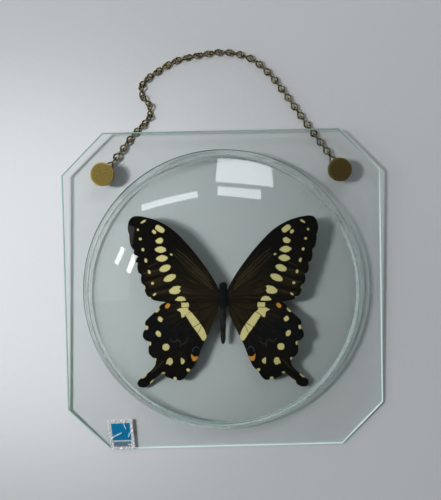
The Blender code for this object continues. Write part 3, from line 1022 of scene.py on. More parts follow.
@dataclass
class GlassDome:
    """Slumped dome: shallow cap, tight shoulder, steep flank, foot ground flat."""

    place: PlateFrame
    radius: float = 0.0750
    cap_radius: float = 0.200
    shoulder_radius: float = 0.0036
    flank_slope: float = math.radians(68.0)
    flank_height: float = 0.007
    thickness: float = 0.0028
    seam: float = 0.0008
    foot_band: float = 0.0015
    segments: int = 160
    cap_steps: int = 40
    shoulder_steps: int = 12
    ripple: float = 0.00006
    ripples_per_metre: float = 30.0
    still_from: float = 0.066
    still_over: float = 0.020

    @property
    def foot(self) -> float:
        """Inner radius of the ground foot."""
        return self.radius - self.thickness / math.sin(self.flank_slope)

    def _shoulder(self) -> tuple[Point2, Point2, float]:
        """Work out where the tight shoulder meets the shallow cap.

        Returns:
            Centre of the shoulder, centre of the cap, and the slope where they meet.
        """
        flank_top = self.radius - self.flank_height / math.tan(self.flank_slope)
        x = flank_top - self.shoulder_radius * math.sin(self.flank_slope)
        z = self.seam + self.flank_height - self.shoulder_radius * math.cos(self.flank_slope)
        spread = self.cap_radius - self.shoulder_radius
        join = math.asin(x / spread)
        return (x, z), (0.0, z - spread * math.cos(join)), join

    def build(self, finishes: Finishes) -> bpy.types.Object:
        """Build the dome with the faint ripple of slumped glass.

        Args:
            finishes: every finish.

        Returns:
            The piece.
        """
        shoulder, cap, join = self._shoulder()
        inner_radius = self.shoulder_radius - self.thickness
        slope = self.flank_slope
        profile = arc_points(cap, self.cap_radius, 0.0, join, self.cap_steps)
        profile += arc_points(shoulder, self.shoulder_radius, join, slope, self.shoulder_steps)[1:]
        bevel = self.radius - self.foot_band / math.tan(slope)
        profile += [(bevel, self.seam + self.foot_band), (self.radius, self.seam), (self.foot, self.seam)]
        profile += reversed(arc_points(shoulder, inner_radius, join, slope, self.shoulder_steps))
        inner_cap = arc_points(cap, self.cap_radius - self.thickness, 0.0, join, self.cap_steps)
        profile += reversed(inner_cap[:-1])
        mesh = turned_mesh("dome", profile, self.segments, Matrix.Identity(4))
        for vertex in mesh.vertices:
            reach = math.hypot(vertex.co.x, vertex.co.y)
            wave = noise.noise(Vector((vertex.co.x, vertex.co.y, 0.0)) * self.ripples_per_metre)
            vertex.co.z += wave * self.ripple * float(ease((self.still_from - reach) / self.still_over))
        for face in mesh.polygons:
            edge = all(mesh.vertices[k].co.xy.length > bevel - MERGE_DISTANCE for k in face.vertices)
            face.material_index = (Face.GROUND if edge else Face.FLAT).value
        mesh.transform(self.place.matrix)
        piece = add_piece("glass_dome", mesh, finishes.domed_glass, finishes.ground_foot)
        return finish_piece(piece, "clear_glass", "dome_glass")


@dataclass
class GlueSeam:
    """Film of adhesive under the dome's foot, squeezed out unevenly inside it."""

    place: PlateFrame
    dome: GlassDome
    width: float = 0.0009
    least_width: float = 0.45
    clearance: float = 0.00006
    floor: float = 0.00005
    top_share: float = 0.75
    lip: tuple[float, float] = (0.0004, 0.0002)
    segments: int = 240

    def build(self, finishes: Finishes) -> bpy.types.Object:
        """Build the film as a closed ring with a wavering inner edge.

        Args:
            finishes: every finish.

        Returns:
            The piece.
        """
        outer = self.dome.foot - self.clearance
        top = self.dome.seam * self.top_share
        work = bmesh.new()
        rings = []
        for k in range(self.segments):
            angle = 2 * math.pi * k / self.segments
            way = Vector((math.cos(angle), math.sin(angle), 0.0))
            waver = 0.5 + 0.5 * noise.noise(way * 4.0)
            inner = outer - self.width * (self.least_width + (1.0 - self.least_width) * waver)
            corners = [(inner, self.floor), (outer, self.floor), (outer, top)]
            corners.append((inner + self.lip[0], self.floor + self.lip[1]))
            ring = [way * radius + Vector((0.0, 0.0, height)) for radius, height in corners]
            rings.append([work.verts.new(corner) for corner in ring])
        for first, second in zip(rings, rings[1:] + rings[:1]):
            for k in range(4):
                nxt = (k + 1) % 4
                work.faces.new((first[k], first[nxt], second[nxt], second[k]))
        bmesh.ops.recalc_face_normals(work, faces=work.faces)
        work.transform(self.place.matrix)
        mesh = bpy.data.meshes.new("glue")
        work.to_mesh(mesh)
        work.free()
        mesh.shade_smooth()
        piece = add_piece("glue_film", mesh, finishes.adhesive)
        return finish_piece(piece, "clear_adhesive", "glue_seam")


@dataclass
class Stud:
    """Antique brass stud: round cap, shank through the plate, disc behind."""

    place: PlateFrame
    side: Side
    gap: float = 0.0003
    cap_radius: float = 0.0063
    cap_height: float = 0.0038
    cap_round: float = 0.0008
    shank_radius: float = 0.0013
    neck_radius: float = 0.0008
    neck_length: float = 0.0049
    disc_thickness: float = 0.0016
    disc_round: float = 0.0003
    disc_cut: float = 0.0001
    bore_depth: float = 0.0009
    # width and start of the rim's brightening: wear together with a painted highlight
    rim_cut: float = 0.0003
    wear_and_highlight_width: float = 0.0003
    wear_and_highlight_from: float = 0.002
    segments: int = 64

    @property
    def disc_top(self) -> float:
        """Height of the rear disc's face that looks at the plate."""
        return -self.place.thickness - self.neck_length

    def build(self, finishes: Finishes) -> None:
        """Build the cap with its shank, and the disc.

        Args:
            finishes: every finish.
        """
        matrix = self.place.stud(self.side)
        # the right side's brass is darker with painted shade
        brass = finishes.brass[self.side]
        name = self.side.label
        cap = add_piece("brass_cap_" + name, self._cap_mesh(matrix), brass)
        finish_piece(cap, "antique_brass", "stud_cap_" + name)
        disc = turned_mesh("disc", self._disc_profile(), self.segments, matrix)
        rear = add_piece("rear_disc_" + name, disc, brass)
        finish_piece(rear, "antique_brass", "stud_disc_" + name)

    def _cap_mesh(self, matrix: Matrix) -> bpy.types.Mesh:
        """Turn the slightly dished cap and its shank, and mark its rim as worn and lit: wear with a painted
        highlight.

        Args:
            matrix: the stud's frame.

        Returns:
            The mesh, with the rim's wear and painted highlight on its points.
        """
        top = self.gap + self.cap_height
        rim = self.cap_radius - self.cap_round
        behind = -self.place.thickness - self.gap
        neck_end = self.disc_top - self.bore_depth + self.gap
        profile = [(0.0, top - 0.00008), (rim * 0.6, top - 0.00003)]
        profile += arc_points((rim, top - self.cap_round), self.cap_round, 0.0, math.pi / 2, 7)
        profile += [(self.cap_radius, self.gap + self.rim_cut), (self.cap_radius - self.rim_cut, self.gap)]
        profile += [(self.shank_radius, self.gap), (self.shank_radius, behind)]
        profile += [(self.neck_radius, behind), (self.neck_radius, neck_end), (0.0, neck_end)]
        mesh = turned_mesh("cap", profile, self.segments, matrix)
        local = [matrix.inverted() @ vertex.co for vertex in mesh.vertices]
        # rim brightened all round: wear together with a painted highlight
        rubbed_and_lit = [float(ease((p.xy.length - rim) / self.wear_and_highlight_width) * (p.z > self.wear_and_highlight_from)) for p in local]
        mesh.attributes.new("wear", "FLOAT", "POINT").data.foreach_set("value", rubbed_and_lit)
        return mesh

    def _disc_profile(self) -> list[Point2]:
        """Draw the rear disc with its blind bore.

        Returns:
            Its (radius, height) points.
        """
        top = self.disc_top
        bottom = top - self.disc_thickness
        radius = self.place.disc_radius
        bore = self.neck_radius + self.gap
        corner = (radius - self.disc_round, top - self.disc_round)
        profile = [(0.0, top - self.bore_depth), (bore, top - self.bore_depth), (bore, top)]
        profile += arc_points(corner, self.disc_round, 0.0, math.pi / 2, 5)
        profile += [(radius, bottom + self.disc_cut), (radius - self.disc_cut, bottom), (0.0, bottom)]
        return profile


def geometry_tree(
    name: str, inputs: Sequence[tuple[str, str, object]]
) -> tuple[bpy.types.NodeTree, NodeGraph]:
    """Make a geometry tree with a geometry input and output and named inputs.

    Args:
        name: the tree's name.
        inputs: (label, socket type, value) of each input after the geometry.

    Returns:
        The tree and its graph.
    """
    tree = bpy.data.node_groups.new(name, "GeometryNodeTree")
    tree.interface.new_socket("Geometry", in_out="INPUT", socket_type="NodeSocketGeometry")
    for label, kind, value in inputs:
        socket = tree.interface.new_socket(label, in_out="INPUT", socket_type=kind)
        if value is not None:
            socket.default_value = value
    tree.interface.new_socket("Geometry", in_out="OUTPUT", socket_type="NodeSocketGeometry")
    return tree, NodeGraph(tree)


def end_tree(graph: NodeGraph, made: bpy.types.NodeSocket, material: bpy.types.Material) -> None:
    """Close a geometry tree: make its instances real and dress them.

    Args:
        graph: the tree's graph.
        made: the geometry with its instances.
        material: the material that it takes.
    """
    real = graph.add("GeometryNodeRealizeInstances", {"Geometry": made})
    dressed = graph.add("GeometryNodeSetMaterial", {
        "Material": material, "Geometry": real.outputs["Geometry"],
    })
    graph.add("NodeGroupOutput", {"Geometry": dressed.outputs["Geometry"]})


def run_tree(item: bpy.types.Object, tree: bpy.types.NodeTree, values: dict[str, object]) -> None:
    """Put a geometry tree on an object and set its inputs by their identifiers.

    Args:
        item: the object.
        tree: the geometry tree.
        values: the inputs' values, by name.
    """
    modifier = item.modifiers.new(tree.name, "NODES")
    modifier.node_group = tree
    for socket in tree.interface.items_tree:
        if socket.in_out == "INPUT" and socket.name in values:
            modifier[socket.identifier] = values[socket.name]


@dataclass
class Chain:
    """Chain of twisted wire links, laid along its route between the studs."""

    place: PlateFrame
    link_count: int = 34
    link_length: float = 0.0082
    link_width: float = 0.0042
    wire: float = 0.00098
    loop_points: int = 7
    loop_step: float = math.radians(48.0)
    bend_steps: int = 4
    wire_sides: int = 10

    def nodes(self) -> list[str]:
        """Names of the links' nodes."""
        return [f"chain_link_{k + 1:02d}" for k in range(self.link_count)]

    def _solid_points(self) -> list[np.ndarray]:
        """Points of each link's solid, in order."""
        meshes = [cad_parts[name].data for name in self.nodes()]
        return [np.array([vertex.co for vertex in mesh.vertices]) for mesh in meshes]

    def _link_turn(self, points: np.ndarray, forward: Vector) -> tuple[Vector, Matrix]:
        """Find one link's frame from its solid's points.

        Args:
            points: the solid's points.
            forward: rough direction of the chain there.

        Returns:
            The link's middle and its turn, with X along the link.
        """
        centre = points.mean(axis=0)
        _, _, axes = np.linalg.svd(points - centre, full_matrices=False)
        along = Vector(axes[0]).normalized()
        if along.dot(forward) < 0:
            along.negate()
        reach = (points - centre) @ np.array(along)
        front = points[reach > self.link_length / 4] - centre
        front = front - np.outer(front @ np.array(along), np.array(along))
        _, _, loop_axes = np.linalg.svd(front, full_matrices=False)
        loop = Vector(loop_axes[0])
        loop = (loop - along * loop.dot(along)).normalized()
        other = along.cross(loop)
        turn = Matrix((along, loop, other)).transposed() @ Matrix.Rotation(-math.pi / 4, 3, "X")
        return Vector(centre), turn

    def build(self, finishes: Finishes) -> bpy.types.Object:
        """Build the chain with a geometry tree and make it one plain mesh.

        Args:
            finishes: every finish.

        Returns:
            The piece.
        """
        solids = self._solid_points()
        places = [Vector((points.max(axis=0) + points.min(axis=0)) / 2) for points in solids]
        stations = bpy.data.meshes.new("chain_points")
        centres, turns = [], []
        for index, solid in enumerate(solids):
            behind = places[max(index - 1, 0)]
            ahead = places[min(index + 1, len(places) - 1)]
            centre, turn = self._link_turn(solid, ahead - behind)
            centres.append(centre)
            turns.append(turn.to_euler("XYZ"))
        stations.from_pydata(centres, [], [])
        turn_data = stations.attributes.new("link_turn", "FLOAT_VECTOR", "POINT")
        turn_data.data.foreach_set("vector", [part for turn in turns for part in turn])
        holder = bpy.data.objects.new("chain_points", stations)
        bpy.context.scene.collection.objects.link(holder)
        run_tree(holder, self._tree(finishes.bronze), {
            "Link Length": self.link_length, "Link Width": self.link_width, "Wire": self.wire,
        })
        mesh = plain_mesh(holder, "chain")
        self._keep_inside(mesh)
        mesh.shade_smooth()
        piece = add_piece("bronze_chain", mesh, finishes.bronze)
        return finish_piece(piece, "bronze_wire", *self.nodes())

    @staticmethod
    def _keep_inside(mesh: bpy.types.Mesh) -> None:
        """Trim the wires' last hundredths of a millimetre to the solids' box.

        Args:
            mesh: the chain's mesh.
        """
        points = np.array([vertex.co for vertex in mesh.vertices])
        low, high = (np.array(corner) for corner in CAD_BOX)
        kept = np.clip(points, low + BOX_MARGIN, high - BOX_MARGIN)
        mesh.vertices.foreach_set("co", kept.astype(np.float32).ravel())
        mesh.update()

    def _tree(self, material: bpy.types.Material) -> bpy.types.NodeTree:
        """Make the geometry tree that puts a wire link at each point.

        Args:
            material: the wire's material.

        Returns:
            The tree.
        """
        number = "NodeSocketFloat"
        tree, graph = geometry_tree("wire_links", [
            ("Link Length", number, self.link_length), ("Link Width", number, self.link_width),
            ("Wire", number, self.wire),
        ])
        given = graph.add("NodeGroupInput")
        spot = self._wire_route(graph, given)
        ring = graph.add("GeometryNodeCurvePrimitiveCircle", {
            "Resolution": 2 * self.loop_points,
        }, mode="RADIUS")
        bent = graph.add("GeometryNodeSetPosition", {"Geometry": ring.outputs["Curve"], "Position": spot})
        smooth = graph.add("GeometryNodeCurveSplineType", {
            "Curve": bent.outputs["Geometry"],
        }, spline_type="CATMULL_ROM")
        finer = graph.add("GeometryNodeSetSplineResolution", {
            0: smooth.outputs["Curve"], "Resolution": self.bend_steps,
        })
        section = graph.add("GeometryNodeCurvePrimitiveCircle", {
            "Resolution": self.wire_sides, "Radius": graph.math("MULTIPLY", given.outputs["Wire"], 0.5),
        }, mode="RADIUS")
        tube = graph.add("GeometryNodeCurveToMesh", {
            "Curve": finer.outputs[0], "Profile Curve": section.outputs["Curve"],
        })
        turn = graph.add("GeometryNodeInputNamedAttribute", {"Name": "link_turn"}, data_type="FLOAT_VECTOR")
        copies = graph.add("GeometryNodeInstanceOnPoints", {
            "Points": given.outputs["Geometry"], "Instance": tube.outputs["Mesh"],
            "Rotation": turn.outputs["Attribute"],
        })
        end_tree(graph, copies.outputs["Instances"], material)
        return tree

    def _wire_route(self, graph: NodeGraph, given: bpy.types.Node) -> bpy.types.NodeSocket:
        """Work out the wire's points: two round loops, a quarter turn apart.

        Args:
            graph: the tree's graph.
            given: the tree's input node.

        Returns:
            The socket of a point's place from its index.
        """
        length, width, wire = (given.outputs[k] for k in ("Link Length", "Link Width", "Wire"))
        arm = graph.math("MULTIPLY", graph.math("SUBTRACT", width, wire), 0.5)
        half = graph.math("MULTIPLY", graph.math("SUBTRACT", length, wire), 0.5)
        centre = graph.math("SUBTRACT", half, arm)
        index = graph.add("GeometryNodeInputIndex").outputs[0]
        count = self.loop_points
        first = graph.math("LESS_THAN", index, count - 0.5)
        end = graph.math("SUBTRACT", graph.math("MULTIPLY", first, 2.0), 1.0)
        step = graph.math("SUBTRACT", graph.math("FLOORED_MODULO", index, float(count)), (count - 1) / 2)
        angle = graph.math("MULTIPLY", step, self.loop_step)
        aside = graph.math("MULTIPLY", end, graph.math("MULTIPLY", arm, graph.math("SINE", angle)))
        reach = graph.math("ADD", centre, graph.math("MULTIPLY", arm, graph.math("COSINE", angle)))
        twist = graph.math("MULTIPLY", end, math.pi / 4)
        spot = graph.add("ShaderNodeCombineXYZ", {
            0: graph.math("MULTIPLY", end, reach),
            1: graph.math("MULTIPLY", aside, graph.math("COSINE", twist)),
            2: graph.math("MULTIPLY", aside, graph.math("SINE", twist)),
        })
        return spot.outputs[0]


@dataclass(frozen=True)
class Spot:
    """One marking: a rounded form on the right wing, in millimetres."""

    x: float
    y: float
    half_long: float
    half_wide: float
    turn: float = 0.0
    power: float = 2.0

    def distance(self, x: np.ndarray, y: np.ndarray) -> np.ndarray:
        """Find how far points are from the marking's edge, less than 0 inside it.

        Args:
            x: places across, in millimetres.
            y: places along, in millimetres.

        Returns:
            The distances, in millimetres.
        """
        angle = math.radians(self.turn)
        along = (x - self.x) * math.cos(angle) + (y - self.y) * math.sin(angle)
        across = (y - self.y) * math.cos(angle) - (x - self.x) * math.sin(angle)
        along = np.abs(along) / self.half_long
        across = np.abs(across) / self.half_wide
        reach = (along**self.power + across**self.power) ** (1.0 / self.power)
        return (reach - 1.0) * min(self.half_long, self.half_wide)


@dataclass(frozen=True)
class Patch:
    """One marking with straight-sided outline points on the right wing, in millimetres."""

    points: tuple[Point2, ...]

    def distance(self, x: np.ndarray, y: np.ndarray) -> np.ndarray:
        """Find how far points are from the patch's edge, less than 0 inside it.

        Args:
            x: places across, in millimetres.
            y: places along, in millimetres.

        Returns:
            The distances, in millimetres.
        """
        near = line_distance(x, y, self.points + self.points[:1])
        inside = in_polygon(x, y, self.points)
        return np.where(inside, -near, near)


def line_distance(x: np.ndarray, y: np.ndarray, line: Sequence[Point2]) -> np.ndarray:
    """Find how far points are from a line of straight runs.

    Args:
        x: places across, in millimetres.
        y: places along, in millimetres.
        line: the line's points.

    Returns:
        The distances, in millimetres.
    """
    best = np.full(x.shape, 1e9)
    for (ax, ay), (bx, by) in zip(line, line[1:]):
        dx, dy = bx - ax, by - ay
        share = np.clip(((x - ax) * dx + (y - ay) * dy) / (dx * dx + dy * dy + 1e-12), 0.0, 1.0)
        best = np.minimum(best, np.hypot(x - ax - share * dx, y - ay - share * dy))
    return best


def in_polygon(x: np.ndarray, y: np.ndarray, points: Sequence[Point2]) -> np.ndarray:
    """Find the points inside a closed outline.

    Args:
        x: places across, in millimetres.
        y: places along, in millimetres.
        points: the outline, in order.

    Returns:
        True for each point inside.
    """
    inside = np.zeros(x.shape, dtype=bool)
    for (ax, ay), (bx, by) in zip(points, tuple(points[1:]) + tuple(points[:1])):
        crosses = (ay > y) != (by > y)
        at = ax + (y - ay) * (bx - ax) / ((by - ay) or 1e-12)
        inside ^= crosses & (x < at)
    return inside


def smooth_line(points: Sequence[Point2], steps: int, closed: bool = False) -> list[Point2]:
    """Smooth flat line through flat points."""
    curve = catmull_rom([Vector(point) for point in points], steps, closed)
    return [(point.x, point.y) for point in curve]


@dataclass(frozen=True)
class WingPattern:
    """Outline, veins and markings of one wing of the right side, in millimetres."""

    outline: tuple[Point2, ...]
    veins: tuple[tuple[Point2, ...], ...]
    cream: tuple[Spot | Patch, ...]
    orange: tuple[Spot | Patch, ...] = ()
    sky: tuple[Spot | Patch, ...] = ()
    streaks: tuple[tuple[Point2, ...], ...] = ()
    cuts: tuple[tuple[Point2, ...], ...] = ()
    streak_width: float = 0.2
    dark: tuple[Spot, ...] = ()

    @staticmethod
    def nearest(marks: Sequence[Spot | Patch], x: np.ndarray, y: np.ndarray) -> np.ndarray:
        """Find how far points are from the nearest of some markings.

        Args:
            marks: the markings.
            x: places across, in millimetres.
            y: places along, in millimetres.

        Returns:
            The distances, or a far one where there is no marking.
        """
        best = np.full(x.shape, 50.0)
        for mark in marks:
            best = np.minimum(best, mark.distance(x, y))
        return best


FOREWING = WingPattern(
    outline=(
        (2.4, -2.6), (2.5, 1.4), (4.8, 6.0), (9.0, 12.6), (14.6, 20.2), (19.6, 26.0),
        (24.6, 31.2), (29.8, 35.0), (35.6, 37.8), (41.6, 39.4), (46.0, 39.7), (48.6, 38.0),
        (49.7, 34.4), (49.5, 31.6), (48.9, 30.0), (48.9, 27.2), (48.0, 23.6), (46.7, 22.0),
        (46.8, 19.4), (46.1, 16.4), (44.8, 15.0), (44.9, 12.6), (44.2, 10.2), (42.9, 9.0),
        (43.1, 6.6), (42.4, 4.4), (41.0, 3.2), (41.1, 1.0), (39.8, -2.0), (36.6, -4.2),
        (32.8, -5.1), (28.0, -5.4), (20.0, -5.0), (10.0, -4.8), (3.0, -4.6),
    ),
    veins=(
        ((4.0, -1.4), (10.0, 3.0), (16.0, 7.0), (23.5, 13.5), (27.5, 18.0), (29.2, 22.0), (29.6, 26.6)),
        ((4.0, 0.2), (8.4, 7.6), (13.6, 14.2), (20.0, 20.5), (25.6, 25.0), (29.6, 26.6)),
        ((4.2, 1.6), (9.6, 11.6), (18.0, 22.5), (27.0, 32.6)),
        ((16.6, 17.4), (24.0, 26.4), (33.0, 36.4)),
        ((22.4, 22.8), (30.0, 31.0), (38.0, 38.4)),
        ((29.6, 26.6), (36.0, 33.6), (43.0, 39.4)),
        ((33.6, 30.8), (41.0, 35.4), (47.4, 38.6)),
        ((29.6, 26.6), (34.0, 29.4), (41.0, 31.0), (49.2, 32.0)),
        ((29.6, 25.2), (34.0, 24.2), (41.0, 25.2), (48.2, 25.6)),
        ((29.0, 21.6), (33.2, 19.6), (40.0, 19.2), (46.4, 19.2)),
        ((27.4, 18.0), (31.8, 14.7), (38.6, 13.2), (44.7, 12.8)),
        ((23.5, 13.5), (29.8, 9.4), (37.0, 7.3), (43.0, 6.4)),
        ((16.0, 7.0), (26.8, 3.5), (35.6, 1.4), (41.0, 0.4)),
        ((4.2, -2.6), (16.0, -2.2), (28.0, -2.5), (38.8, -3.0)),
    ),
    cream=(
        Spot(33.0, 33.0, 2.55, 1.45, 34.0, 3.4), Spot(36.0, 31.5, 1.2, 0.85, 44.0, 2.4),
        Patch((
            (31.2, 27.0), (31.6, 28.1), (32.9, 28.5), (34.2, 27.9), (35.5, 26.8), (34.6, 25.6),
            (33.2, 25.3), (31.9, 25.7),
        )),
        Spot(32.7, 22.2, 3.1, 1.7, 3.0, 1.55), Spot(32.0, 17.6, 3.1, 1.75, -4.0, 1.6),
        Spot(30.4, 12.4, 3.15, 1.75, -21.0, 1.8), Spot(28.0, 7.3, 3.5, 1.75, -23.0, 1.75),
        Patch((
            (22.1, 2.8), (23.8, 3.2), (26.1, 2.8), (28.6, 0.7), (27.8, -0.9), (25.6, -1.3),
            (23.3, -0.9), (22.3, 0.5), (23.1, 1.7),
        )),
        Patch((
            (19.4, -4.7), (20.5, -2.9), (22.0, -2.3), (23.8, -2.6), (25.4, -4.4), (23.8, -4.9), (21.2, -4.9),
        )),
        Spot(27.1, 19.6, 0.75, 0.5, 25.0),
        Spot(41.6, 36.8, 1.45, 0.55, -34.0, 2.6), Spot(44.4, 32.6, 0.62, 0.62), Spot(43.2, 27.8, 0.8, 0.72),
        Spot(41.9, 22.2, 0.72, 0.85, -20.0), Spot(40.4, 16.5, 0.72, 1.2, -14.0),
        Spot(38.7, 10.5, 0.66, 1.1, -18.0), Spot(37.0, 4.5, 0.8, 0.75),
        Spot(36.0, -1.3, 1.0, 0.5, -38.0), Spot(41.2, 2.3, 0.5, 0.95, -12.0),
        Spot(38.4, -3.2, 0.62, 0.6), Spot(47.0, 21.9, 0.4, 0.5), Spot(45.0, 14.9, 0.35, 0.5),
        Spot(43.1, 8.9, 0.3, 0.45),
    ),
    streaks=(
        ((6.0, 2.8), (12.0, 9.2), (19.0, 16.0), (24.0, 20.4)),
        ((6.0, 1.2), (13.0, 7.8), (20.0, 14.0), (25.4, 19.6)),
        ((7.0, 5.6), (13.0, 12.0), (19.5, 18.4), (24.6, 22.6)),
        ((31.0, 8.2), (37.0, 5.6), (41.0, 4.6)),
        ((33.0, 12.0), (38.0, 10.6), (42.0, 9.6)),
        ((28.0, 1.6), (34.0, -0.6), (38.0, -1.0)),
        ((34.0, 15.6), (39.0, 13.2)),
    ),
)

HINDWING = WingPattern(
    outline=(
        (2.3, -3.9), (14.0, -3.0), (24.0, -3.4), (29.6, -5.4), (33.0, -7.2), (34.3, -9.2),
        (37.2, -11.8), (40.4, -14.9), (41.0, -16.7), (40.5, -18.4), (42.0, -21.2),
        (42.1, -23.6), (40.6, -25.4), (38.8, -26.3), (39.3, -29.6), (39.0, -32.4),
        (37.3, -34.4), (35.9, -35.8), (35.8, -38.5), (38.2, -41.9), (42.5, -45.4),
        (45.4, -48.4), (45.3, -51.0), (42.9, -52.0), (40.0, -51.0), (36.4, -47.0),
        (33.2, -44.0), (31.6, -44.0), (30.2, -45.6), (27.6, -46.7), (25.4, -47.1),
        (22.6, -47.6), (20.2, -45.6), (18.4, -42.8), (15.6, -39.8), (13.4, -35.2),
        (11.4, -29.8), (9.0, -24.6), (5.9, -18.2), (3.4, -12.4), (2.4, -8.0),
    ),
    veins=(
        ((4.0, -5.4), (14.0, -6.2), (24.0, -5.6), (34.0, -9.2)),
        ((4.0, -6.4), (12.0, -9.8), (20.0, -10.4), (30.0, -12.4), (40.6, -17.4)),
        ((12.0, -9.8), (15.0, -15.0), (22.0, -17.2), (31.0, -19.4), (38.8, -26.0)),
        ((15.0, -15.0), (16.0, -19.6), (24.0, -23.4), (32.0, -29.4), (36.6, -34.8)),
        ((16.0, -19.6), (22.0, -27.0), (30.0, -37.0), (34.6, -41.6), (39.4, -45.8), (43.6, -48.8)),
        ((16.0, -19.6), (18.6, -28.0), (24.0, -38.0), (29.8, -44.6)),
        ((4.0, -7.6), (8.0, -14.0), (12.4, -19.6), (16.0, -19.6)),
        ((12.4, -19.6), (15.2, -28.0), (20.0, -37.0), (23.8, -46.2)),
        ((8.0, -14.0), (10.6, -22.0), (14.6, -31.0), (18.4, -40.6)),
    ),
    cream=(
        Patch((
            (18.2, -5.9), (22.2, -6.1), (21.9, -8.4), (24.6, -9.7), (22.4, -11.0), (21.9, -13.9),
            (19.7, -12.9), (16.0, -18.9), (13.3, -22.4), (10.8, -26.4), (9.2, -26.2), (8.7, -23.9),
            (9.9, -20.4), (12.7, -16.2), (16.4, -11.4), (18.6, -9.6), (18.0, -7.9),
        )),
        Patch((
            (33.9, -13.0), (33.0, -12.9), (31.6, -14.4), (32.4, -15.9), (33.5, -15.6), (34.6, -14.4),
        )),
        Patch((
            (34.9, -20.3), (33.8, -20.4), (32.7, -21.7), (32.9, -23.4), (34.0, -23.6), (35.2, -22.5),
            (35.5, -21.3),
        )),
        Spot(30.2, -29.1, 1.8, 1.8, 0.0, 2.3),
        Patch((
            (28.2, -34.7), (27.0, -35.4), (26.5, -37.2), (27.4, -38.9), (28.5, -39.1), (29.1, -38.3),
            (30.4, -38.3), (29.9, -36.8), (29.2, -35.3),
        )),
        Patch((
            (22.4, -34.9), (21.4, -35.4), (20.2, -36.8), (21.0, -38.2), (22.2, -38.7), (22.5, -37.0),
        )),
        Spot(34.6, -9.9, 1.5, 0.7, -42.0), Spot(40.2, -18.7, 0.85, 1.2, 10.0), Spot(38.6, -27.0, 0.75, 1.05),
        Spot(35.9, -35.6, 0.7, 0.95), Spot(31.8, -43.4, 0.9, 0.55), Spot(25.6, -46.5, 1.0, 0.8, 20.0),
        Spot(18.4, -42.0, 1.3, 0.85, 40.0), Spot(42.0, -45.2, 2.0, 0.75, -42.0, 2.4),
        Spot(37.6, -48.4, 1.7, 0.65, -42.0, 2.4),
    ),
    orange=(
        Spot(29.3, -7.6, 1.5, 1.05, -50.0, 2.4),
        Patch((
            (17.0, -32.6), (16.9, -35.0), (16.0, -37.0), (14.4, -37.0), (13.3, -34.8), (13.5, -34.2),
            (14.4, -34.7), (15.6, -34.5), (16.5, -33.5),
        )),
    ),
    sky=(Patch(tuple(
        [(14.5 + 2.0 * math.cos(a), -31.7 + 2.5 * math.sin(a)) for a in np.linspace(-0.2, 2.9, 12)]
        + [(14.5 + 1.62 * math.cos(a), -31.7 + 2.05 * math.sin(a)) for a in np.linspace(2.9, -0.2, 12)]
    )),),
    cuts=(
        ((22.8, -8.7), (18.2, -8.5)), ((20.4, -12.9), (17.2, -10.9)), ((15.9, -19.0), (12.4, -17.1)),
        ((13.0, -21.6), (11.6, -18.4)),
    ),
    streaks=(
        ((27.8, -24.8), (27.2, -26.0), (26.0, -26.4), (24.8, -26.0), (24.2, -24.8)),
        ((23.8, -25.6), (22.9, -26.4), (22.4, -27.6), (21.2, -27.7), (19.2, -26.6)),
        ((22.4, -27.6), (22.8, -29.0)),
        ((31.6, -36.5), (34.6, -39.8), (37.8, -43.0)),
    ),
    streak_width=0.26,
    dark=(Spot(14.5, -31.9, 1.6, 2.0),),
)


@dataclass
class WingShape:
    """Heights of the wings above the plate, in metres from coordinates in metres."""

    forewing_root: float = 0.0074
    forewing_tip_rise: float = 0.0019
    forewing_arch: float = 0.0007
    forewing_length: float = 0.062
    hindwing_root: float = 0.0060
    hindwing_margin_rise: float = 0.0044
    rise_from: Point2 = (0.005, -0.002)
    rise_over: Point2 = (0.037, 0.018)
    tail_drop: float = 0.0092
    tail_from: float = -0.030
    tail_over: float = 0.020
    lowest: float = 0.0005

    def forewing(self, x: np.ndarray, y: np.ndarray) -> np.ndarray:
        """Shape the forewing.

        Args:
            x: places across, in metres.
            y: places along, in metres.

        Returns:
            Heights above the plate, in metres.
        """
        along = np.hypot(x, y) / self.forewing_length
        arch = self.forewing_arch * np.sin(math.pi * np.minimum(along, 1.0))
        return self.forewing_root + self.forewing_tip_rise * along + arch

    def hindwing(self, x: np.ndarray, y: np.ndarray) -> np.ndarray:
        """Shape the hindwing, its outer margin lifted and its tail drooping.

        Args:
            x: places across, in metres.
            y: places along, in metres.

        Returns:
            Heights above the plate, in metres.
        """
        across = ease((x - self.rise_from[0]) / self.rise_over[0])
        along = ease((self.rise_from[1] - y) / self.rise_over[1])
        fall = np.maximum(self.tail_from - y, 0.0) / self.tail_over
        rise = self.hindwing_margin_rise * across * along
        height = self.hindwing_root + rise - self.tail_drop * fall**1.5 * across
        return np.maximum(height, self.lowest)


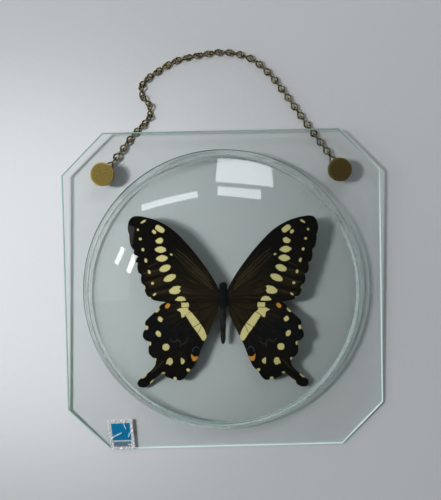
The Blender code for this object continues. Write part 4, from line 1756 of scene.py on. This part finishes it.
@dataclass
class Wing:
    """One wing as a thin sheet with raised veins and its markings' distances."""

    name: str
    pattern: WingPattern
    side: Side
    height: Callable[[np.ndarray, np.ndarray], np.ndarray]
    matrix: Matrix
    spacing: float = 0.38
    thickness: float = 0.00014
    row_step: float = 0.866
    rim_gap: float = 0.45
    vein_height: float = 0.00010
    vein_width: float = 0.28
    sag: float = 0.00016
    sag_over: float = 2.6
    waviness: float = 0.00022
    waves_per_mm: float = 0.16
    wavy_from: float = 30.0
    cut_width: float = 0.16
    brown_reach: float = 30.0

    def _flat_points(self) -> tuple[np.ndarray, list[tuple[int, int, int]]]:
        """Fill the wing's outline with an even net of points.

        Returns:
            The points in millimetres, and the triangles between them.
        """
        rim = smooth_line(self.pattern.outline, 8, closed=True)
        rim_x, rim_y = np.array(rim).T
        low_x, high_x = rim_x.min(), rim_x.max()
        low_y, high_y = rim_y.min(), rim_y.max()
        rows = []
        for row in range(int((high_y - low_y) / (self.spacing * self.row_step)) + 1):
            shift = 0.5 * self.spacing * (row % 2)
            xs = np.arange(low_x + shift, high_x, self.spacing)
            rows.append(np.column_stack((xs, np.full(xs.shape, low_y + row * self.spacing * self.row_step))))
        grid = np.vstack(rows)
        x, y = grid.T
        keep = in_polygon(x, y, rim) & (line_distance(x, y, rim + rim[:1]) > self.spacing * self.rim_gap)
        inner = grid[keep]
        points = [Vector(point) for point in rim] + [Vector(point) for point in inner.tolist()]
        edges = [(k, (k + 1) % len(rim)) for k in range(len(rim))]
        result = geometry.delaunay_2d_cdt(points, edges, [list(range(len(rim)))], 1, 1e-5)
        flat = np.array([tuple(point) for point in result[0]])
        return flat, [tuple(face) for face in result[2]]

    def build(self, finishes: Finishes) -> bpy.types.Object:
        """Build the wing and store its distances on the mesh.

        Args:
            finishes: every finish.

        Returns:
            The piece.
        """
        flat, faces = self._flat_points()
        x, y = flat.T
        veins = [smooth_line(vein, 6) for vein in self.pattern.veins]
        vein = np.min([line_distance(x, y, line) for line in veins], axis=0)
        z = self.height(x * MM, y * MM)
        ridge = self.vein_height * np.exp(-((vein / self.vein_width) ** 2))
        z = z + ridge - self.sag * ease(vein / self.sag_over)
        wave = self.waves_per_mm
        ripple = [noise.noise(Vector((px * wave, py * wave, self.side.value * 3.0))) for px, py in flat]
        edge = ease(np.hypot(x, y) / self.wavy_from)
        z = z + self.waviness * np.array(ripple) * edge
        count = len(flat)
        upper = np.column_stack((self.side.value * x * MM, y * MM, z))
        lower = upper - np.array((0.0, 0.0, self.thickness))
        rim = self._rim_loop(faces)
        down = [face[::-1] for face in faces]
        sheets = list(faces) + [tuple(k + count for k in face) for face in down]
        walls = [(b, a, a + count, b + count) for a, b in rim]
        mesh = bpy.data.meshes.new(self.name)
        mesh.from_pydata(np.vstack((upper, lower)).tolist(), [], sheets + walls)
        self._store(mesh, flat, vein)
        work = bmesh.new()
        work.from_mesh(mesh)
        bmesh.ops.recalc_face_normals(work, faces=work.faces)
        work.transform(self.matrix)
        work.to_mesh(mesh)
        work.free()
        mesh.shade_smooth()
        mesh.set_sharp_from_angle(angle=WING_SHARP_ANGLE)
        piece = add_piece("wing_" + self.name, mesh, finishes.wing)
        return finish_piece(piece, "wing_scales", self.name)

    @staticmethod
    def _rim_loop(faces: Sequence[tuple[int, int, int]]) -> list[tuple[int, int]]:
        """Edges that only one triangle uses, each in that triangle's direction."""
        used = {(face[k], face[(k + 1) % 3]) for face in faces for k in range(3)}
        return [edge for edge in used if (edge[1], edge[0]) not in used]

    def _store(self, mesh: bpy.types.Mesh, flat: np.ndarray, vein: np.ndarray) -> None:
        """Write the markings' distances and shades on the mesh's points.

        Args:
            mesh: the wing's mesh, upper points first, then lower.
            flat: the points of one side, in millimetres.
            vein: their distance to the nearest vein.
        """
        x, y = flat.T
        pattern = self.pattern
        streaks = [smooth_line(line, 6) for line in pattern.streaks]
        streak = np.min([line_distance(x, y, line) for line in streaks], axis=0)
        shade = np.exp(-((streak / pattern.streak_width) ** 2))
        rim = smooth_line(pattern.outline, 4, closed=True)
        margin = line_distance(x, y, rim + rim[:1])
        reach = np.hypot(x - 3.0, y + 4.0)
        brown = ease(1.25 - reach / self.brown_reach) * (0.35 + 0.65 * ease(margin / 2.2))
        cream = pattern.nearest(pattern.cream, x, y)
        for cut in pattern.cuts:
            cream = np.maximum(cream, self.cut_width - line_distance(x, y, cut))
        rays = ease(1.6 - reach / 24.0) * ease(reach / 9.0)
        if self.pattern is FOREWING:
            between = ease((vein - 0.5) / 1.6) * ease((y + 6.0) / 4.0) * ease((17.0 - y) / 12.0)
            outer = ease((x - 27.0) / 6.0) * ease((margin - 0.8) / 2.0)
            brown = np.maximum(brown, 1.5 * between * outer)
            blue = np.zeros_like(x)
        else:
            blue = ease((x - 12.0) / 6.0) * ease((-13.0 - y) / 5.0) * ease((y + 33.0) / 8.0)
            brown = brown * (1.0 - ease((-y - 18.0) / 6.0) * 0.7)
            hazel = ease((x - 17.0) / 4.0) * ease((-y - 26.0) / 3.0) * ease((y + 44.0) / 10.0)
            brown = np.maximum(brown, 0.22 * hazel)
            inner = 1.1 * ease((2.4 - margin) / 2.0) * ease((-y - 8.0) / 4.0) * ease((y + 27.0) / 5.0)
            brown = brown + inner * (x < 12.0)
        for spot in pattern.dark:
            dark = ease(-spot.distance(x, y) / 0.4 + 0.5)
            blue = blue * (1 - dark)
            brown = brown * (1 - dark)
        layers = {
            "cream": cream, "orange": pattern.nearest(pattern.orange, x, y),
            "sky": pattern.nearest(pattern.sky, x, y), "vein": vein, "streak": 0.75 * shade,
            "brown": brown, "blue_shade": 0.8 * blue, "rays": rays,
            "ray_angle": np.arctan2(y + 4.5, x + 1.0), "ray_reach": reach,
        }
        for label, values in layers.items():
            store = mesh.attributes.new(label, "FLOAT", "POINT")
            store.data.foreach_set("value", np.concatenate((values, values)).astype(np.float32))


@dataclass
class Butterfly:
    """Swallowtail: furred body and four wings."""

    place: PlateFrame
    shift: tuple[float, float, float] = (-0.0004, 0.0, 0.0)
    turn: float = math.radians(-1.0)
    shape: WingShape = field(default_factory=WingShape)
    sides: int = 40
    hair_density: float = 2.6e7
    hair_length: float = 0.0017
    hair_width: float = 0.00007
    hair_tip: float = 0.000004
    hair_seed: int = 7

    # Sections along the body, in millimetres: y, half width, half depth, height
    SECTIONS = (
        (4.3, 0.3, 0.4, 5.6), (4.0, 0.8, 0.9, 5.6), (3.4, 1.15, 1.5, 5.6), (2.6, 1.2, 1.7, 5.5),
        (2.0, 1.05, 1.6, 5.5), (1.5, 1.2, 2.2, 5.3), (0.8, 1.5, 3.1, 5.1), (-0.3, 1.8, 3.7, 4.9),
        (-1.6, 1.95, 4.1, 4.8), (-3.4, 1.95, 4.2, 4.8), (-5.2, 1.8, 3.8, 4.8), (-6.8, 1.55, 3.0, 4.7),
        (-8.0, 1.35, 2.3, 4.65), (-8.8, 1.2, 1.85, 4.6), (-9.8, 1.3, 1.8, 4.5),
    )
    # Abdomen from the waist to the tip, in millimetres
    ABDOMEN_START = -9.8
    ABDOMEN_END = -28.6
    ABDOMEN_RINGS = 8

    @property
    def matrix(self) -> Matrix:
        """Frame of the insect on the plate."""
        return self.place.matrix @ Matrix.Translation(self.shift) @ Matrix.Rotation(self.turn, 4, "Z")

    def _sections(self) -> list[tuple[float, float, float, float]]:
        """Join the listed sections and the abdomen's rings.

        Returns:
            Sections as (y, half width, half depth, height), in millimetres.
        """
        sections = list(self.SECTIONS)
        span = self.ABDOMEN_END - self.ABDOMEN_START
        steps = self.ABDOMEN_RINGS * 5
        for step in range(1, steps + 1):
            share = step / steps
            taper = 1.3 + 0.2 * math.sin(math.pi * share) - 0.3 * share
            close = math.sqrt(max(1.0 - max((share - 0.86) / 0.14, 0.0) ** 2, 0.0))
            ring = 0.09 * abs(math.sin(math.pi * share * self.ABDOMEN_RINGS))
            half = max((taper + ring) * close, 0.2)
            height = 4.5 - 2.4 * share
            sections.append((self.ABDOMEN_START + span * share, half, half * 1.2, height))
        return sections

    def _body_mesh(self) -> bpy.types.Mesh:
        """Build a smooth body through its sections, closed at both ends.

        Returns:
            The mesh, with its brown shade and hair length stored on its points.
        """
        work = bmesh.new()
        rings = []
        for y, half_width, half_depth, height in self._sections():
            ring = []
            for k in range(self.sides):
                angle = 2 * math.pi * k / self.sides
                across, up = math.cos(angle), math.sin(angle)
                spot = (across * half_width * MM, y * MM, (height + up * half_depth) * MM)
                ring.append(work.verts.new(spot))
            rings.append(ring)
        for front, back in zip(rings, rings[1:]):
            for k in range(self.sides):
                nxt = (k + 1) % self.sides
                work.faces.new((front[k], front[nxt], back[nxt], back[k]))
        work.faces.new(rings[0])
        work.faces.new(rings[-1])
        bmesh.ops.recalc_face_normals(work, faces=work.faces)
        mesh = bpy.data.meshes.new("body")
        work.to_mesh(mesh)
        work.free()
        mesh.shade_smooth()
        brown = mesh.attributes.new("brown", "FLOAT", "POINT")
        share = [float(ease((-v.co.y / MM - 4.0) / 6.0)) * 0.9 + 0.08 for v in mesh.vertices]
        brown.data.foreach_set("value", share)
        length = mesh.attributes.new("hair_scale", "FLOAT", "POINT")
        fluff = [1.0 - 0.72 * float(ease((-v.co.y / MM - 6.5) / 3.0)) for v in mesh.vertices]
        length.data.foreach_set("value", fluff)
        return mesh

    def _fur_tree(self, material: bpy.types.Material) -> bpy.types.NodeTree:
        """Make the geometry tree that sets swept-back hairs on the body.

        Args:
            material: the fur's finish.

        Returns:
            The tree.
        """
        number = "NodeSocketFloat"
        tree, graph = geometry_tree("body_hairs", [
            ("Density", number, 1.0e6), ("Hair Length", number, 0.001), ("Hair Width", number, 0.00005),
            ("Seed", "NodeSocketInt", self.hair_seed),
        ])
        given = graph.add("NodeGroupInput")
        scatter = graph.add("GeometryNodeDistributePointsOnFaces", {
            "Mesh": given.outputs["Geometry"], "Density": given.outputs["Density"],
            "Seed": given.outputs["Seed"],
        }, distribute_method="RANDOM")
        jitter = graph.add("FunctionNodeRandomValue", {
            0: (-0.45, -1.5, -0.35), 1: (0.45, -0.35, 0.45), "Seed": given.outputs["Seed"],
        }, data_type="FLOAT_VECTOR")
        lean = graph.add("ShaderNodeVectorMath", {
            0: scatter.outputs["Normal"], 1: jitter.outputs[0],
        }, operation="ADD")
        aim = graph.add("FunctionNodeAlignRotationToVector", {"Vector": lean.outputs[0]}, axis="Z")
        hair = graph.add("GeometryNodeMeshCone", {
            "Vertices": 3, "Radius Bottom": given.outputs["Hair Width"], "Radius Top": self.hair_tip,
            "Depth": given.outputs["Hair Length"],
        }, fill_type="NGON")
        scale = graph.add("FunctionNodeRandomValue", {2: 0.55, 3: 1.15}, data_type="FLOAT")
        fluff = graph.add("GeometryNodeInputNamedAttribute", {"Name": "hair_scale"}, data_type="FLOAT")
        size = graph.math("MULTIPLY", scale.outputs[1], fluff.outputs["Attribute"])
        copies = graph.add("GeometryNodeInstanceOnPoints", {
            "Points": scatter.outputs["Points"], "Instance": hair.outputs["Mesh"],
            "Rotation": aim.outputs[0], "Scale": size,
        })
        joined = graph.add("GeometryNodeJoinGeometry")
        graph.feed(joined.inputs[0], copies.outputs["Instances"])
        graph.feed(joined.inputs[0], given.outputs["Geometry"])
        end_tree(graph, joined.outputs[0], material)
        return tree

    def build(self, finishes: Finishes) -> None:
        """Build the body with its fur, then the four wings.

        Args:
            finishes: every finish.
        """
        holder = bpy.data.objects.new("body", self._body_mesh())
        bpy.context.scene.collection.objects.link(holder)
        run_tree(holder, self._fur_tree(finishes.fur), {
            "Density": self.hair_density, "Hair Length": self.hair_length, "Hair Width": self.hair_width,
            "Seed": self.hair_seed,
        })
        mesh = plain_mesh(holder, "body")
        mesh.transform(self.matrix)
        piece = add_piece("furred_body", mesh, finishes.fur)
        finish_piece(piece, "body_fur", "butterfly_body")
        for side in Side:
            Wing("forewing_" + side.label, FOREWING, side, self.shape.forewing, self.matrix).build(finishes)
            Wing("hindwing_" + side.label, HINDWING, side, self.shape.hindwing, self.matrix).build(finishes)


@dataclass
class FoilLabel:
    """Crinkled foil label on the lower left corner of the plate."""

    place: PlateFrame
    corners: tuple[Point2, ...] = ((-63.9, -68.9), (-50.6, -68.6), (-49.3, -84.9), (-62.3, -84.9))
    columns: int = 56
    rows: int = 68
    lift: float = 0.00032
    crumple: float = 0.00040
    creases: tuple[tuple[Point2, ...], ...] = (
        ((0.04, 0.34), (0.22, 0.45), (0.50, 0.55)), ((0.70, 0.98), (0.64, 0.83), (0.71, 0.68)),
        ((0.98, 0.60), (0.84, 0.53), (0.78, 0.42)), ((0.98, 0.07), (0.88, 0.13), (0.74, 0.15)),
    )
    crease_width: float = 0.035
    pucker_width: float = 0.16
    pucker_turns: float = 44.0
    thickness: float = 0.00006

    def _crease(self, u: float, v: float) -> float:
        """Nearness to a hard crease, from 0 to 1."""
        nearest = min(float(line_distance(np.array([u]), np.array([v]), line)[0]) for line in self.creases)
        return math.exp(-((nearest / self.crease_width) ** 2))

    def _height(self, u: float, v: float) -> float:
        """Shape the foil: puckers round the border, hard creases and small ones.

        Args:
            u: share of the way from left to right.
            v: share of the way from low to high.

        Returns:
            The height above the plate.
        """
        spot = Vector((u * 5.0, v * 6.0, 2.0))
        waver = noise.noise(spot * 0.8)
        small = max(1.0 - abs(noise.noise(spot * 1.9)) * 2.4, 0.0) ** 2
        border = float(ease(1.0 - min(u, 1.0 - u, v, 1.0 - v) / self.pucker_width))
        pucker = 0.5 + 0.5 * math.sin(self.pucker_turns * (u * 0.8 - v) + 5.0 * waver)
        rise = 0.75 * border * pucker + 0.9 * self._crease(u, v) + 0.28 * small
        return self.lift + self.crumple * rise

    def build(self, finishes: Finishes) -> bpy.types.Object:
        """Build the label as a closed crumpled sheet with its own UV map.

        Args:
            finishes: every finish.

        Returns:
            The piece.
        """
        upper_left, upper_right, lower_right, lower_left = (Vector(c) * MM for c in self.corners)
        work = bmesh.new()
        layers = []
        places = {}
        for level in (0.0, -self.thickness):
            grid = []
            for row in range(self.rows + 1):
                v = row / self.rows
                line = []
                for column in range(self.columns + 1):
                    u = column / self.columns
                    flat = lower_left.lerp(lower_right, u).lerp(upper_left.lerp(upper_right, u), v)
                    vertex = work.verts.new((flat.x, flat.y, self._height(u, v) + level))
                    places[vertex] = (u, v)
                    line.append(vertex)
                grid.append(line)
            layers.append(grid)
        for grid in layers:
            for low, high in zip(grid, grid[1:]):
                for k in range(self.columns):
                    work.faces.new((low[k], low[k + 1], high[k + 1], high[k]))
        loops = [self._border(grid) for grid in layers]
        for k in range(len(loops[0])):
            nxt = (k + 1) % len(loops[0])
            work.faces.new((loops[0][k], loops[0][nxt], loops[1][nxt], loops[1][k]))
        bmesh.ops.recalc_face_normals(work, faces=work.faces)
        uv = work.loops.layers.uv.new("label")
        for face in work.faces:
            face.smooth = True
            for loop in face.loops:
                loop[uv].uv = places[loop.vert]
        work.transform(self.place.matrix)
        shown = [self._crease(*places[vertex]) for vertex in work.verts]
        mesh = bpy.data.meshes.new("label")
        work.to_mesh(mesh)
        work.free()
        mesh.attributes.new("crease", "FLOAT", "POINT").data.foreach_set("value", shown)
        piece = add_piece("crinkled_label", mesh, finishes.foil)
        return finish_piece(piece, "foil", "foil_label")

    @staticmethod
    def _border(grid: list[list[bmesh.types.BMVert]]) -> list[bmesh.types.BMVert]:
        """Walk round the edge of a grid.

        Args:
            grid: rows of vertices.

        Returns:
            The vertices of its edge, in order.
        """
        right = [line[-1] for line in grid[1:-1]]
        left = [line[0] for line in grid[1:-1]]
        return grid[0] + right + grid[-1][::-1] + left[::-1]


def place_light(data: bpy.types.Light, place: Sequence[float], turn: Euler, in_glass: bool) -> None:
    """Put a light in the scene.

    Args:
        data: the light.
        place: where it hangs.
        turn: its rotation.
        in_glass: whether it shows in reflections and through glass.
    """
    light = bpy.data.objects.new(data.name, data)
    light.location = place
    light.rotation_euler = turn
    light.visible_glossy = in_glass
    light.visible_transmission = in_glass
    bpy.context.scene.collection.objects.link(light)


def aim(place: Sequence[float], target: Sequence[float]) -> Euler:
    """Turn that makes a light at one place point at another."""
    return (Vector(target) - Vector(place)).to_track_quat("-Z", "Y").to_euler()


@dataclass(frozen=True)
class SoftPanel:
    """One area light over the table, facing straight down unless it is aimed."""

    name: str
    place: tuple[float, float, float]
    size: tuple[float, float]
    power: float
    colour: Colour = (1.0, 1.0, 1.0)
    in_glass: bool = False
    aimed: bool = True
    turn: float = 0.0

    def build(self, target: Vector) -> None:
        """Add the light.

        Args:
            target: where it points when it is aimed.
        """
        data = bpy.data.lights.new(self.name, "AREA")
        data.shape = "RECTANGLE"
        data.size, data.size_y = self.size
        data.energy = self.power
        data.color = self.colour
        turn = aim(self.place, target) if self.aimed else Euler((0.0, 0.0, math.radians(self.turn)))
        place_light(data, self.place, turn, self.in_glass)


@dataclass(frozen=True)
class Pool:
    """Soft pool of light on the table beside the plate."""

    name: str = "pool"
    place: tuple[float, float, float] = (-0.50, 0.04, 0.68)
    target: tuple[float, float, float] = (-0.104, -0.010, 0.0)
    power: float = 17.0
    cone: float = math.radians(20.0)

    def build(self) -> None:
        """Add the light."""
        data = bpy.data.lights.new(self.name, "SPOT")
        data.energy = self.power
        data.spot_size = self.cone
        data.spot_blend = 1.0
        data.shadow_soft_size = 0.03
        place_light(data, self.place, aim(self.place, self.target), False)


@dataclass
class Studio:
    """Pale floor, soft lights and the camera."""

    place: PlateFrame
    photo_width: float = 441.0
    focal_pixels: float = 1120.7
    sensor: float = 36.0
    camera_tilt: float = math.radians(3.34)
    camera_turn: float = math.radians(1.02)
    camera_roll: float = math.radians(1.25)
    camera_offset: tuple[float, float, float] = (0.00167, -0.02133, -0.600)
    floor_size: float = 4.0
    ambient: float = 0.03
    left_glow: float = 0.3
    horizon: float = 0.5
    ambient_colour: Colour = (0.88, 1.0, 0.97)

    def build(self, finishes: Finishes) -> None:
        """Build floor, world, lights and camera.

        Args:
            finishes: every finish.
        """
        self._floor(finishes)
        self._world()
        middle = self.place.matrix.translation
        for panel in self._panels():
            panel.build(middle)
        Pool().build()
        self._camera()

    def _floor(self, finishes: Finishes) -> None:
        """Add the floor under the part.

        Args:
            finishes: every finish.
        """
        mesh = bpy.data.meshes.new("floor")
        half = self.floor_size / 2
        corners = [(-half, -half, 0.0), (half, -half, 0.0), (half, half, 0.0), (-half, half, 0.0)]
        mesh.from_pydata(corners, [], [(0, 1, 2, 3)])
        add_piece("floor", mesh, finishes.floor)

    def _world(self) -> None:
        """Set a dim surround, paler to the left."""
        world = bpy.data.worlds.new("studio")
        world.use_nodes = True
        graph = NodeGraph(world.node_tree)
        parts = graph.add("ShaderNodeSeparateXYZ", {
            0: graph.add("ShaderNodeTexCoord").outputs["Generated"],
        })
        background = world.node_tree.nodes["Background"]
        background.inputs["Color"].default_value = (*self.ambient_colour, 1.0)
        left = graph.spread(parts.outputs[0], -0.95, 0.1, self.left_glow, 0.0)
        horizon = graph.spread(parts.outputs[2], 0.0, 0.62, self.horizon, self.ambient)
        left = graph.math("MULTIPLY", left, graph.spread(parts.outputs[2], 0.3, 0.7, 1.0, 0.0))
        graph.feed(background.inputs["Strength"], graph.math("ADD", left, horizon))
        bpy.context.scene.world = world
        bpy.context.scene.view_settings.view_transform = "Standard"

    @staticmethod
    def _panels() -> list[SoftPanel]:
        """List the studio's area lights.

        Returns:
            The lights.
        """
        sky = (0.96, 0.98, 1.0)
        tube = (1.0, 1.0, 0.95)
        return [
            SoftPanel("key", (-0.78, 0.12, 1.35), (0.19, 0.19), 12.0),
            SoftPanel("fill", (-0.60, 0.40, 1.55), (1.6, 1.6), 5.0, sky, aimed=False),
            SoftPanel("wash", (-0.45, 0.02, 0.40), (0.12, 0.12), 0.3),
            SoftPanel("low_left", (-1.10, 0.10, 0.50), (0.60, 1.4), 3.0),
            SoftPanel("low_top", (0.10, 1.20, 0.45), (1.2, 0.5), 1.5),
            SoftPanel("left_glint", (-1.02, 0.09, 0.48), (0.60, 1.4), 0.9, in_glass=True),
            SoftPanel("top_glint", (0.10, 1.12, 0.43), (1.2, 0.5), 0.6, in_glass=True),
            SoftPanel("window", (0.285, 1.063, 1.40), (0.60, 0.42), 3.5, sky, True, False, -5.0),
            SoftPanel("window_low", (0.205, 0.752, 1.40), (0.44, 0.11), 0.65, sky, True, False, -5.0),
            SoftPanel("strip", (-0.51, 0.693, 1.40), (0.60, 0.075), 0.62, sky, True, False, 9.0),
            SoftPanel("tube_far", (-1.053, 0.160, 1.40), (0.056, 0.20), 0.27, tube, True, False, -31.6),
            SoftPanel("tube_near", (-0.893, 0.075, 1.40), (0.060, 0.20), 0.33, tube, True, False, -27.0),
        ]

    def _camera(self) -> None:
        """Set the camera as the photograph saw the plate."""
        turn = Matrix.Rotation(self.camera_roll, 3, "Z") @ Matrix.Rotation(self.camera_turn, 3, "Y")
        turn = turn @ Matrix.Rotation(self.camera_tilt, 3, "X")
        back = turn.transposed()
        spot = -(back @ Vector(self.camera_offset))
        data = bpy.data.cameras.new("camera")
        data.sensor_fit = "HORIZONTAL"
        data.sensor_width = self.sensor
        data.lens = self.focal_pixels * self.sensor / self.photo_width
        camera = bpy.data.objects.new("camera", data)
        camera.matrix_world = self.place.matrix @ Matrix.Translation(spot) @ back.to_4x4()
        bpy.context.scene.collection.objects.link(camera)
        bpy.context.scene.camera = camera


def main() -> None:
    """Build every piece in order."""
    logging.basicConfig(level=logging.INFO, format="%(name)s: %(message)s")
    place = PlateFrame()
    finishes = Finishes()
    Studio(place).build(finishes)
    Chain(place).build(finishes)
    GlassPlate(place).build(finishes)
    dome = GlassDome(place)
    dome.build(finishes)
    GlueSeam(place, dome).build(finishes)
    for side in Side:
        Stud(place, side).build(finishes)
    Butterfly(place).build(finishes)
    FoilLabel(place).build(finishes)


if __name__ == "__main__":
    main()
